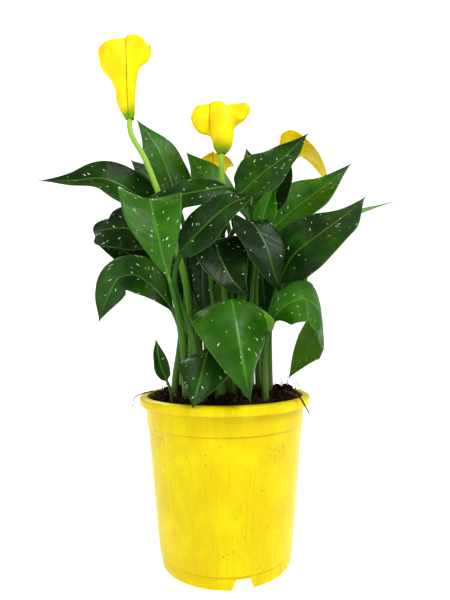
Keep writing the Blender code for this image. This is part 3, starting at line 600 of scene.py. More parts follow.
def crumb_recipe(finish):
    tree, given = new_recipe("crumbs_on_a_surface", {"Per square metre": 1.0, "Smallest": 1.0, "Largest": 1.0,
                                                     "Roughening": 1.0, "Seed": 1.0})
    ground = given["Geometry"]
    points = ground.put("GeometryNodeDistributePointsOnFaces",
                        {"Mesh": ground, "Density": given["Per square metre"], "Seed": given["Seed"]})
    ball = ground.put("GeometryNodeMeshUVSphere", {"Segments": 7, "Rings": 5, "Radius": 1.0})
    size = ground.put("FunctionNodeRandomValue", {2: given["Smallest"], 3: given["Largest"], "Seed": 3},
                      out=1)
    squash = ground.put("FunctionNodeRandomValue", {0: (0.6, 0.6, 0.45), 1: (1.3, 1.1, 0.9), "Seed": 5},
                        data_type="FLOAT_VECTOR")
    turn = ground.put("FunctionNodeRandomValue", {0: (-3.0, -3.0, -3.0), 1: (3.0, 3.0, 3.0), "Seed": 9},
                      data_type="FLOAT_VECTOR")
    scale = squash.put("ShaderNodeVectorMath", {0: squash, "Scale": size}, operation="SCALE")
    crumbs = points.put("GeometryNodeInstanceOnPoints", {"Points": points, "Instance": ball, "Rotation": turn,
                                                         "Scale": scale})
    whole = crumbs.put("GeometryNodeRealizeInstances", {0: crumbs})
    place = ground.put("GeometryNodeInputPosition")
    noise = place.put("ShaderNodeTexNoise", {"Vector": place, "Scale": 420.0, "Detail": 2.0}, out=1)
    push = noise.put("ShaderNodeVectorMath", {0: noise, 1: (0.5, 0.5, 0.5)}, operation="SUBTRACT")
    push = push.put("ShaderNodeVectorMath", {0: push, "Scale": given["Roughening"]}, operation="SCALE")
    rough = whole.put("GeometryNodeSetPosition", {"Geometry": whole, "Offset": push})
    end_recipe(rough, finish)
    return tree


crumbs = crumb_recipe(peat)
fine = made_by(crumbs, "peat_crumbs", top_of_mound("crumb_ground"),
               {"Per square metre": 110000, "Smallest": 0.0008, "Largest": 0.0022, "Roughening": 0.0022,
                "Seed": 4},
               smooth=False)
coarse = made_by(crumbs, "peat_lumps", top_of_mound("lump_ground"),
                 {"Per square metre": 14000, "Smallest": 0.0022, "Largest": 0.0052, "Roughening": 0.0045,
                  "Seed": 11},
                 smooth=False)
print("crumb faces:", len(fine.data.polygons), "lump faces:", len(coarse.data.polygons))

# %% [markdown]
# ### Fibres in the peat
# Peat is also full of fine roots and bark splinters that stick out of it at every angle. One short curved
# hair is swept along an arc and put on scattered points with a random turn.

# %% Recipe for fibres
def fibre_recipe(finish):
    tree, given = new_recipe("fibres_on_a_surface", {"Per square metre": 1.0, "Length": 1.0, "Radius": 1.0,
                                                     "Seed": 1.0})
    ground = given["Geometry"]
    points = ground.put("GeometryNodeDistributePointsOnFaces",
                        {"Mesh": ground, "Density": given["Per square metre"], "Seed": given["Seed"]})
    hair = ground.put("GeometryNodeCurveQuadraticBezier",
                      {"Resolution": 5, "Start": (0.0, 0.0, -0.2), "Middle": (0.25, 0.1, 0.5),
                       "End": (1.0, 0.0, 0.7)})
    ring = ground.put("GeometryNodeCurvePrimitiveCircle", {"Resolution": 4, "Radius": given["Radius"]})
    swept = hair.put("GeometryNodeCurveToMesh", {"Curve": hair, "Profile Curve": ring, "Fill Caps": True})
    turn = ground.put("FunctionNodeRandomValue", {0: (-0.9, -0.9, -3.1), 1: (0.9, 0.9, 3.1), "Seed": 2},
                      data_type="FLOAT_VECTOR")
    length = ground.put("FunctionNodeRandomValue",
                        {2: given["Length"] * 0.4, 3: given["Length"], "Seed": 6}, out=1)
    fibres = points.put("GeometryNodeInstanceOnPoints",
                        {"Points": points, "Instance": swept, "Rotation": turn, "Scale": length})
    end_recipe(fibres, finish)
    return tree


def root_finish():
    root = Finish("root_brown", Specular_IOR_Level=0.15)
    place = root.place()
    grain = place.noise(0.8, 4.0)
    return root.finish(grain.between(0.35, 0.7).blend((0.028, 0.012, 0.008), (0.20, 0.10, 0.06)),
                       grain * 0.2 + 0.7, grain, 0.2)


root_brown = root_finish()
fibres = made_by(fibre_recipe(root_brown), "peat_fibres", top_of_mound("fibre_ground"),
                 {"Per square metre": 34000, "Length": 0.011, "Radius": 0.03, "Seed": 8})
print("fibre faces:", len(fibres.data.polygons))

# %% [markdown]
# ## Leaves
# A leaf of this plant is a round stalk that flattens into an arrow-shaped blade, folded along its midrib
# and waved at its margins. Each leaf is described by where its stalk leaves the peat, the route of its
# midrib, how wide each half is, how far each half folds and how its margin curls. A stack of sections along
# the route makes one closed skin: the section is a circle in the stalk and opens into a thin folded sheet.
# A drawn route is the right tool, because no two leaves of a plant bend alike.

# %% Shapes of the leaves
# name: foot on the peat (x, y), midrib of the blade from its base to its tip (x, y, z, roll in degrees),
# half width, how far each half is lifted at the midrib (left, right), and how far it curls on to its margin.
# Left and right are as seen looking along the leaf from the plant's middle.
LEAVES = {
    "leaf_front": dict(
        foot=(-6, -36), width=(48, 41), fold=(-10, -8), curl=(-56, -26), broad=0.23,
        blade=[(4, -38, 236, -6), (6, -56, 247, -6), (9, -78, 232, -4), (14, -92, 198, 0),
               (20, -99, 162, 0)],
    ),
    "leaf_front_low": dict(
        foot=(-21, -43), width=(26, 28), fold=(-10, -10), curl=(-20, -20), broad=0.35,
        blade=[(-14, -44, 200, 0), (-15, -58, 200, 0), (-19, -75, 184, 0), (-26, -89, 156, 0)],
    ),
    "leaf_right_arch": dict(
        foot=(38, -34), width=(30, 30), fold=(5, 5), curl=(-20, -20), broad=0.5, heading=0,
        blade=[(45, -44, 226, -50), (56, -57, 241, -50), (71, -60, 246, -50), (86, -52, 238, -35),
               (92, -34, 222, 0), (84, -14, 202, 35), (64, -8, 171, 45)],
    ),
    "leaf_left_under": dict(
        foot=(-36, -34), width=(31, 31), fold=(12, 12), curl=(10, 10), broad=0.72, swell=1.7, heading=100,
        blade=[(-50, -37, 262, 0), (-56, -50, 286, 0), (-61, -55, 312, 0), (-66, -52, 332, 0),
               (-71, -40, 345, 0), (-76, -27, 341, 0), (-80, -12, 332, 0)],
    ),
    "leaf_left_cup": dict(
        foot=(-44, 8), width=(27, 27), fold=(14, 14), curl=(-22, -22), broad=0.52, heading=180,
        blade=[(-62, 25, 312, 60), (-84, 24, 327, 70), (-108, 23, 333, 74), (-130, 25, 332, 68),
               (-142, 34, 332, 60), (-146, 50, 324, 50)],
    ),
    "leaf_left_lower": dict(
        foot=(-50, 22), width=(21, 21), fold=(12, 12), curl=(-14, -14), broad=0.45, heading=180,
        blade=[(-56, 32, 258, 60), (-82, 36, 284, 66), (-106, 36, 306, 66), (-128, 36, 315, 60),
               (-148, 40, 322, 50)],
    ),
    "leaf_upper_right": dict(
        foot=(10, -20), width=(30, 30), fold=(12, 12), curl=(-10, -10), broad=0.35, heading=0,
        blade=[(16, -22, 352, -55), (38, -28, 373, -55), (62, -32, 390, -50), (84, -36, 411, -40)],
    ),
    "leaf_right_dark": dict(
        foot=(44, -14), width=(34, 34), fold=(12, 12), curl=(-12, -12), broad=0.38, heading=0,
        blade=[(54, -16, 262, -55), (68, -24, 291, -55), (98, -26, 315, -50), (126, -14, 336, -40),
               (149, -4, 357, -30)],
    ),
    "leaf_right_upper": dict(
        foot=(38, 6), width=(32, 32), fold=(18, 18), curl=(-12, -12), broad=0.42, heading=0,
        blade=[(46, 12, 317, -55), (66, 17, 341, -55), (92, 18, 362, -50), (118, 18, 381, -40),
               (143, 20, 403, -30)],
    ),
    "leaf_centre_long": dict(
        foot=(4, 2), width=(17, 17), fold=(5, 5), curl=(-15, -15), broad=0.35, heading=180,
        blade=[(8, -8, 366, 70), (-18, -18, 361, 70), (-58, -14, 354, 70), (-88, 2, 354, 55),
               (-110, 14, 356, 40)],
    ),
    "leaf_centre_up": dict(
        foot=(-20, -28), width=(22, 22), fold=(12, 12), curl=(-10, -10), broad=0.45, heading=0,
        blade=[(-42, -38, 290, -60), (-20, -56, 311, -60), (4, -64, 330, -60), (31, -60, 344, -50)],
    ),
    "leaf_centre_right": dict(
        foot=(20, -30), width=(22, 30), fold=(15, 15), curl=(-15, -15), broad=0.35, heading=-75,
        blade=[(12, -14, 322, 10), (24, -28, 326, 10), (40, -38, 300, 10), (48, -38, 272, 10),
               (54, -34, 253, 10)],
    ),
    "leaf_centre_left": dict(
        foot=(-2, -16), width=(28, 24), fold=(18, 18), curl=(-10, -10), broad=0.35, heading=-80,
        blade=[(-12, -24, 294, 0), (-10, -32, 306, 0), (-2, -44, 284, 0), (10, -50, 262, 0),
               (24, -44, 250, 0)],
    ),
    "leaf_upright_left": dict(
        foot=(-26, 24), width=(27, 27), fold=(8, 8), curl=(-10, -10), broad=0.4, heading=180,
        blade=[(-50, 28, 359, 60), (-60, 26, 392, 60), (-72, 22, 422, 55), (-95, 18, 454, 50)],
    ),
    "leaf_arch_left": dict(
        foot=(-38, 24), width=(24, 24), fold=(20, 20), curl=(-10, -10), broad=0.35, heading=180,
        blade=[(-74, 36, 352, 70), (-100, 26, 374, 70), (-130, 12, 385, 65), (-160, 4, 380, 60),
               (-194, -2, 378, 40)],
    ),
    "leaf_droop_left": dict(
        foot=(-50, -14), width=(24, 24), fold=(15, 15), curl=(-14, -14), broad=0.62, heading=180, swell=1.3,
        blade=[(-48, -20, 234, 60), (-60, -23, 252, 60), (-74, -22, 266, 62), (-90, -19, 275, 62),
               (-104, -19, 272, 62), (-113, -20, 256, 62), (-123, -20, 229, 60)],
    ),
    "leaf_young_fold": dict(
        foot=(26, -10), width=(14, 14), fold=(35, 35), curl=(0, 0), broad=0.35, heading=60,
        blade=[(38, -6, 322, -30), (42, -9, 338, -30), (47, -13, 353, -30), (53, -16, 366, -30)],
    ),
    "leaf_back_centre": dict(
        foot=(-2, 32), width=(26, 26), fold=(15, 15), curl=(0, 0), broad=0.4, heading=170,
        blade=[(2, 34, 350, 50), (-10, 36, 378, 50), (-24, 38, 402, 50), (-42, 40, 426, 50)],
    ),
    "leaf_back_left": dict(
        foot=(-18, 42), width=(24, 24), fold=(15, 15), curl=(0, 0), broad=0.4, heading=160,
        blade=[(-58, 62, 350, 50), (-72, 60, 378, 50), (-88, 58, 402, 50), (-110, 56, 424, 50)],
    ),
    "leaf_shoot": dict(
        foot=(-48, -42), width=(8, 8), fold=(25, 25), curl=(0, 0), broad=0.4, heading=180,
        blade=[(-53, -43, 172, 60), (-58, -45, 184, 60), (-61, -46, 197, 60), (-63, -46, 211, 60)],
    ),
    "leaf_far_right": dict(
        foot=(40, 30), width=(22, 22), fold=(15, 15), curl=(-10, -10), broad=0.4, heading=10,
        blade=[(70, 44, 300, -10), (104, 50, 328, -5), (146, 54, 350, 0), (176, 58, 362, 0),
               (204, 60, 372, 0)],
    ),
    "leaf_back_tip": dict(
        foot=(14, 56), width=(24, 24), fold=(15, 15), curl=(0, 0), broad=0.4, heading=70,
        blade=[(30, 66, 350, -30), (36, 74, 384, -30), (36, 80, 418, -30), (30, 84, 450, -30)],
    ),
    "leaf_back_dark": dict(
        foot=(34, -2), width=(16, 16), fold=(10, 10), curl=(0, 0), broad=0.4, heading=20,
        blade=[(46, 2, 340, -50), (55, 0, 362, -50), (64, 0, 385, -50), (72, 2, 405, -50)],
    ),
    "leaf_inner_left": dict(
        foot=(-18, 16), width=(20, 18), fold=(10, 10), curl=(-10, -10), broad=0.4, heading=-110,
        blade=[(-16, 26, 320, 0), (-18, 16, 327, 0), (-22, 6, 296, 0), (-22, 2, 262, 0), (-19, 2, 228, 0)],
    ),
    "leaf_inner_right": dict(
        foot=(22, 32), width=(23, 23), fold=(10, 10), curl=(-10, -10), broad=0.62, heading=-80,
        blade=[(31, 45, 304, 0), (35, 40, 315, 0), (41, 33, 299, 0), (44, 32, 268, 0), (46, 30, 238, 0)],
    ),
    "leaf_back_low_left": dict(
        foot=(-24, 52), width=(34, 34), fold=(10, 10), curl=(-20, -20), broad=0.35, heading=130,
        blade=[(-36, 60, 236, 0), (-48, 72, 286, 0), (-64, 96, 320, 0), (-82, 128, 320, 0),
               (-96, 152, 284, 0)],
    ),
    "leaf_back_low_right": dict(
        foot=(30, 54), width=(34, 34), fold=(10, 10), curl=(-20, -20), broad=0.35, heading=50,
        blade=[(42, 70, 230, 0), (56, 82, 276, 0), (76, 104, 304, 0), (98, 132, 298, 0),
               (112, 150, 262, 0)],
    ),
    "leaf_back_mid": dict(
        foot=(4, 60), width=(31, 31), fold=(10, 10), curl=(-20, -20), broad=0.35, heading=90,
        blade=[(0, 68, 240, 0), (-2, 84, 296, 0), (-6, 108, 336, 0), (-8, 142, 340, 0), (-8, 170, 304, 0)],
    ),
}
print("leaves:", len(LEAVES))

# %% Smooth routes
def smooth_path(knots):
    """Many even samples of a smooth curve through the knots, and the length along it at each knot."""
    knots = np.array(knots, float)
    gaps = np.linalg.norm(np.diff(knots[:, :3], axis=0), axis=1)
    at = np.concatenate([[0.0], np.cumsum(gaps)])
    slopes = np.gradient(knots, at, axis=0)
    fine = np.linspace(0.0, at[-1], 60 * len(gaps) + 1)
    left = np.clip(np.searchsorted(at, fine, side="right") - 1, 0, len(gaps) - 1)
    span = gaps[left][:, None]
    part = (fine - at[left])[:, None] / span
    rise = part * part * (3 - 2 * part)
    path = knots[left] * (1 - rise) + knots[left + 1] * rise
    path += slopes[left] * span * part * (1 - part) ** 2
    path -= slopes[left + 1] * span * part ** 2 * (1 - part)
    lengths = np.concatenate([[0.0], np.cumsum(np.linalg.norm(np.diff(path[:, :3], axis=0), axis=1))])
    return path, lengths, np.interp(at, fine, lengths)


def stalk_knots(foot, first, second):
    """A stalk that leaves the peat upright and runs on into the blade's first stretch."""
    start = np.array([*foot, soil_height(*foot) - ROOTED])
    end = np.array(first)
    aim = np.array(second) - end
    reach = np.linalg.norm(end - start)
    rise = start + np.array([0.0, 0.0, 0.45 * reach])
    ease = end - 0.25 * reach * aim / np.linalg.norm(aim)
    knots = []
    for part in (0.0, 0.25, 0.5, 0.75):
        back = 1 - part
        early = back ** 3 * start + 3 * back ** 2 * part * rise
        late = 3 * back * part ** 2 * ease + part ** 3 * end
        knots.append(early + late)
    return knots


def frames_along(path, lengths, wanted, heading):
    """Place, way along, way across and way up at each wanted length along a route."""
    rows = np.stack([np.interp(wanted, lengths, path[:, axis]) for axis in range(4)], axis=1)
    slopes = np.gradient(path[:, :3], lengths, axis=0)
    ways = np.stack([np.interp(wanted, lengths, slopes[:, axis]) for axis in range(3)], axis=1)
    across = np.cross([math.cos(heading), math.sin(heading), 0.0], [0.0, 0.0, 1.0])
    found = []
    for row, way in zip(rows, ways):
        way = way / np.linalg.norm(way)
        side = across - way * np.dot(across, way)
        side /= np.linalg.norm(side)
        up = np.cross(side, way)
        roll = math.radians(row[3])
        found.append((row[:3], way, math.cos(roll) * side + math.sin(roll) * up,
                      math.cos(roll) * up - math.sin(roll) * side))
    return found


print("route helpers ready")

# %% One section of a leaf
HALF_COLUMNS = 11
BLADE_THICKNESS, MARGIN_THICKNESS = 0.7, 0.35
RIB_REACH, GROOVE_REACH = 3.2, 2.2


def blade_half_width(along, width, leaf):
    """Half the blade's width at a share of its length: round at the base, drawn out to a point."""
    broad = leaf["broad"]
    if along < broad:
        return width * max(0.0, 1 - (1 - along / broad) ** 2) ** leaf.get("swell", 0.5)
    return width * (1 - ((along - broad) / (1 - broad)) ** 1.8) ** 1.2


def leaf_row(frame, halves, leaf, wave):
    """The middle of the folded blade and the way its upper face looks, from margin to margin, at one ring."""
    place, _, side, up = frame
    row = []
    for column in range(-HALF_COLUMNS, HALF_COLUMNS + 1):
        right = column > 0
        hand = 1 if right else -1
        lift = 0.0
        offset = np.zeros(3)
        for step in range(abs(column)):
            share = (step + 0.5) / HALF_COLUMNS
            fold = leaf["fold"][right] * min(1.0, 0.4 + 1.6 * share)
            lift = math.radians(fold + leaf["curl"][right] * share + wave[right] * share ** 2)
            offset += halves[right] / HALF_COLUMNS * (hand * math.cos(lift) * side + math.sin(lift) * up)
        row.append((place + offset, math.cos(lift) * up - hand * math.sin(lift) * side))
    return row


def keep_in_order(rows, frames, least):
    """Moves points of the blade on where a tight bend would carry its inner margin back over itself."""
    for before, row, frame in zip(rows, rows[1:], frames[1:]):
        for column, (spot, out) in enumerate(row):
            ahead = np.dot(spot - before[column][0], frame[1])
            row[column] = (spot + max(0.0, least - ahead) * frame[1], out)


def leaf_section(frame, row, halves, round_radius, blend, rib):
    """One closed ring of a leaf: a round stalk where blend is 0, and the thin blade where it is 1."""
    place, _, side, up = frame
    top, bottom = [], []
    for column, (spot, out) in enumerate(row, -HALF_COLUMNS):
        share = abs(column) / HALF_COLUMNS
        across = share * halves[column > 0]
        thick = 0.5 * (BLADE_THICKNESS + (MARGIN_THICKNESS - BLADE_THICKNESS) * share)
        turn = 0.5 * math.pi * (1 - column / HALF_COLUMNS)
        round_side = round_radius * math.cos(turn) * side
        round_up = round_radius * math.sin(turn) * up
        below = thick + rib * max(0.0, 1 - across / RIB_REACH) ** 1.5
        groove = 0.5 * rib * max(0.0, 1 - across / GROOVE_REACH)
        top.append(blend * (spot + (thick - groove) * out) + (1 - blend) * (place + round_side + round_up))
        bottom.append(blend * (spot - below * out) + (1 - blend) * (place + round_side - round_up))
    return [0.5 * (top[0] + bottom[0])] + top[1:-1] + [0.5 * (top[-1] + bottom[-1])] + bottom[-2:0:-1]


print("points in a leaf's section:", 4 * HALF_COLUMNS)

# %% Build a leaf and note what its finish needs
STALK_RINGS, BLADE_RINGS = 16, 56
FULL_WIDTH = 20.0  # a blade whose half is narrower than this has a thinner stalk and midrib too
STALK_FOOT, STALK_TAPER = 3.9, 1.4
MIDRIB_THICKNESS = 2.4
OPENING = 0.12  # share of the blade over which the round stalk flattens out
MARGIN_SWING, MARGIN_RIPPLES = 14.0, 13.0
LEAST_STEP = 0.12
USUAL_TONE_AND_LIGHT = 0.45

# How light the green of a leaf is, for those unlike the rest: 0 is the darkest, and about 1 the lightest. It
# is partly the leaf's own green, as the young leaf is paler, and partly painted light and shade: the leaves
# deep inside and at the back are painted nearly black as shade, and those that catch the light are painted
# lighter.
LEAF_TONE_AND_LIGHT = {
    "leaf_left_under": 0.7, "leaf_young_fold": 1.1, "leaf_back_centre": 0.85, "leaf_upright_left": 0.6,
    "leaf_front": 0.6, "leaf_right_arch": 0.6, "leaf_right_upper": 0.65, "leaf_upper_right": 0.45,
    "leaf_right_dark": 0.35, "leaf_centre_up": 0.3, "leaf_centre_left": 0.1, "leaf_centre_right": 0.1,
    "leaf_inner_left": 0.0, "leaf_inner_right": 0.0, "leaf_centre_long": 0.4, "leaf_left_lower": 0.3,
    "leaf_left_cup": 0.25, "leaf_arch_left": 0.35, "leaf_back_mid": 0.1, "leaf_back_low_left": 0.1,
    "leaf_back_low_right": 0.1, "leaf_back_dark": 0.1, "leaf_far_right": 0.3,
}


def leaf_lines(leaf, number):
    """The sections of a leaf and, for every point, its place on the blade."""
    blade = [tuple(row) for row in leaf["blade"]]
    stalk = [(*knot, blade[0][3]) for knot in stalk_knots(leaf["foot"], blade[0][:3], blade[1][:3])]
    path, lengths, at = smooth_path(stalk + blade)
    start, end = at[len(stalk)], lengths[-1]
    wanted = [start * ring / STALK_RINGS for ring in range(STALK_RINGS + 1)]
    wanted += [start + (end - start) * (0.01 + 0.99 * ring / BLADE_RINGS) for ring in range(BLADE_RINGS + 1)]
    away = math.atan2(blade[-1][1] - blade[0][1], blade[-1][0] - blade[0][0])
    heading = math.radians(leaf["heading"]) if "heading" in leaf else away
    scale = min(1.0, leaf["width"][0] / FULL_WIDTH)
    frames = frames_along(path, lengths, wanted, heading)
    shares = [max(0.0, (length - start) / (end - start)) for length in wanted]
    halves = [[max(0.5, blade_half_width(along, width, leaf)) for width in leaf["width"]] for along in shares]
    waves = [[MARGIN_SWING * math.sin(math.pi * along) ** 0.7 *
              math.sin(MARGIN_RIPPLES * along + 1.7 * number + 2.0 * hand) for hand in (0, 1)]
             for along in shares]
    rows = [leaf_row(at_ring, half, leaf, wave) for at_ring, half, wave in zip(frames, halves, waves)]
    keep_in_order(rows[STALK_RINGS:], frames[STALK_RINGS:], LEAST_STEP)
    rings, notes = [], []
    for length, along, frame, row, half in zip(wanted, shares, frames, rows, halves):
        blend = min(1.0, along / OPENING)
        blend = blend * blend * (3 - 2 * blend)
        down = min(1.0, length / start)
        rib = 0.5 * (MIDRIB_THICKNESS * (1 - along) + 0.2) * scale
        radius = scale * (STALK_FOOT - STALK_TAPER * down)
        rings.append(leaf_section(frame, row, half, radius, blend, rib))
        order = [*range(-HALF_COLUMNS, HALF_COLUMNS + 1), *range(HALF_COLUMNS - 1, -HALF_COLUMNS, -1)]
        for place, column in enumerate(order):
            share = column / HALF_COLUMNS
            under = 1.0 if place > 2 * HALF_COLUMNS else 0.5 if abs(column) == HALF_COLUMNS else 0.0
            part = along if length > start else down - 1
            notes.append((share, share * half[column > 0], length - start, part, under))
    return rings, np.array(notes)


def build_leaf(name, number, finish):
    rings, notes = leaf_lines(LEAVES[name], number)
    points, faces = bridged(rings)
    leaf = add_piece(name.replace("leaf_", "") + "_leaf", points, faces, finish, name)
    for column, note in enumerate(("across_share", "across_mm", "along_mm", "along_share", "underside")):
        store(leaf, note, notes[:, column])
    store(leaf, "tone_and_light", np.full(len(notes), LEAF_TONE_AND_LIGHT.get(name, USUAL_TONE_AND_LIGHT)))
    return leaf


# %% [markdown]
# ### Leaf green
# The upper face is dark and glossy, the underside paler and duller, and both show fine side veins that
# leave the midrib at a slant and sweep forward. This kind of plant also has cream flecks, see-through
# dashes between the veins. The finish therefore works in the leaf's own measure: millimetres along and
# across the blade, which the mesh carries as named numbers. A ripple across the slanted measure is a vein,
# and a stretched cell is a fleck.

# %% Leaf green
def leaf_finish():
    green = Finish("leaf_green", Specular_IOR_Level=0.22)
    across, along = green.value("across_mm"), green.value("along_mm")
    share, along_share = green.value("across_share"), green.value("along_share")
    under, tone_and_light = green.value("underside"), green.value("tone_and_light")
    place = green.place()
    outward = abs(across)
    slanted = along - outward * 0.85 - outward * outward * 0.006
    bend = place.noise(0.05, 2.0) * 3.0
    veins = (slanted * 2.6 + bend).wave()
    fine_veins = ((slanted * 8.5 + bend * 2.0).wave() + veins) * 0.5
    blade = along_share.between(0.0, 0.05)
    midrib = outward.between(1.5, 0.4) * along_share.between(1.0, 0.75)
    margin = abs(share).between(0.955, 0.99) * blade
    side_of_rib = share.maths("SIGN") * 5.0
    fleck_place = vector_of((outward + slanted * 0.2) * 0.13, slanted * 0.26 + bend * 0.05,
                            tone_and_light * 31.0 + side_of_rib)
    cells = fleck_place.put("ShaderNodeTexVoronoi", {"Vector": fleck_place, "Scale": 1.0})
    chance = fleck_place.put("ShaderNodeTexVoronoi", {"Vector": fleck_place, "Scale": 1.0}, out=1).part("X")
    clump = place.noise(0.03, 2.0)
    flecks = (cells - chance * 0.17).between(0.03, -0.01) * (chance + clump * 0.7).between(0.64, 0.68) * blade
    cloud = place.noise(0.035, 3.0, 0.55)
    # Painted light and shade: the leaf's tone, which also stands for how much light reaches that leaf, sets
    # how light its green is.
    lightness = (tone_and_light + (cloud - 0.5) * 0.9).between(0.15, 1.0)
    dark = lightness.blend((0.0032, 0.022, 0.0008), (0.046, 0.19, 0.003))
    dark = (veins * 0.05).blend(dark, (0.06, 0.17, 0.02))
    pale = (tone_and_light + (cloud - 0.5) * 0.8).between(0.0, 1.0).blend((0.060, 0.20, 0.010), (0.19, 0.40, 0.040))
    pale = (fine_veins * 0.10 + 0.10).blend(pale, (0.04, 0.13, 0.015))
    colour = under.between(0.4, 0.6).blend(dark, pale)
    colour = (midrib * blade * (0.22 + tone_and_light * 0.25)).blend(colour, (0.16, 0.36, 0.05))
    colour = (margin * 0.45).blend(colour, (0.30, 0.46, 0.14))
    colour = (flecks * 0.92).blend(colour, (0.78, 0.84, 0.55))
    # The stalk's green is partly painted shade: it is made dark up towards the blade, for the dim middle of
    # the plant, while its paler foot is its own colour.
    stalk = along_share.between(-1.0, -0.1).blend((0.15, 0.26, 0.05), (0.035, 0.13, 0.008))
    streaks = place.scaled(1.0, 1.0, 0.06).noise(1.2, 3.0)
    stalk = (streaks.between(0.4, 0.7) * 0.5).blend(stalk, (0.05, 0.16, 0.02))
    colour = blade.blend(stalk, colour)
    roughness = under * 0.14 + 0.20 + cloud * 0.12
    relief = (veins * 0.22 + fine_veins * 0.10) * blade * (1.0 - midrib)
    return green.finish(colour, roughness, relief + cloud * 4.0 + streaks * (1.0 - blade), 0.28)


leaf_green = leaf_finish()
leaves = {name: build_leaf(name, number, leaf_green) for number, name in enumerate(LEAVES)}
print("leaf faces:", sum(len(leaf.data.polygons) for leaf in leaves.values()))

# %% [markdown]
# ## Flower stems
# A stem is a plain tapered round rod that follows a curve, which is just what a Geometry Nodes recipe is
# good at: it takes the curve, works out a radius along it, sweeps a circle of that radius and closes the
# ends. The same recipe makes the loose root and twigs on the peat and over the rim, because they differ
# only in size and finish.

# %% Places of the flowers and loose roots
# name: foot of the stem on the peat (x, y), points of the stem, its top, the way the flower points, and how
# high its spadix is.
FLOWERS = {
    "tall": dict(foot=(-32, 2), stem=[(-38, 4, 260), (-60, 4, 340), (-84, 2, 405)], top=(-99, 0, 445),
                 aim=(0.0, 0.0, 1.0), spadix=52),
    "middle": dict(foot=(-4, 16), stem=[(-3, 18, 260), (-1, 16, 330), (-1, 6, 380)], top=(-1, 0, 406),
                   aim=(0.0, 0.0, 1.0), spadix=36),
    "back": dict(foot=(-8, 42), stem=[(-8, 50, 260), (-9, 66, 330)], top=(-10, 78, 392),
                 aim=(0.0, 0.1, 1.0), spadix=28),
    "right": dict(foot=(14, 14), stem=[(20, 12, 260), (28, 22, 320), (44, 42, 365)], top=(66, 48, 399),
                  aim=(0.3, 0.0, 1.0), spadix=30),
}

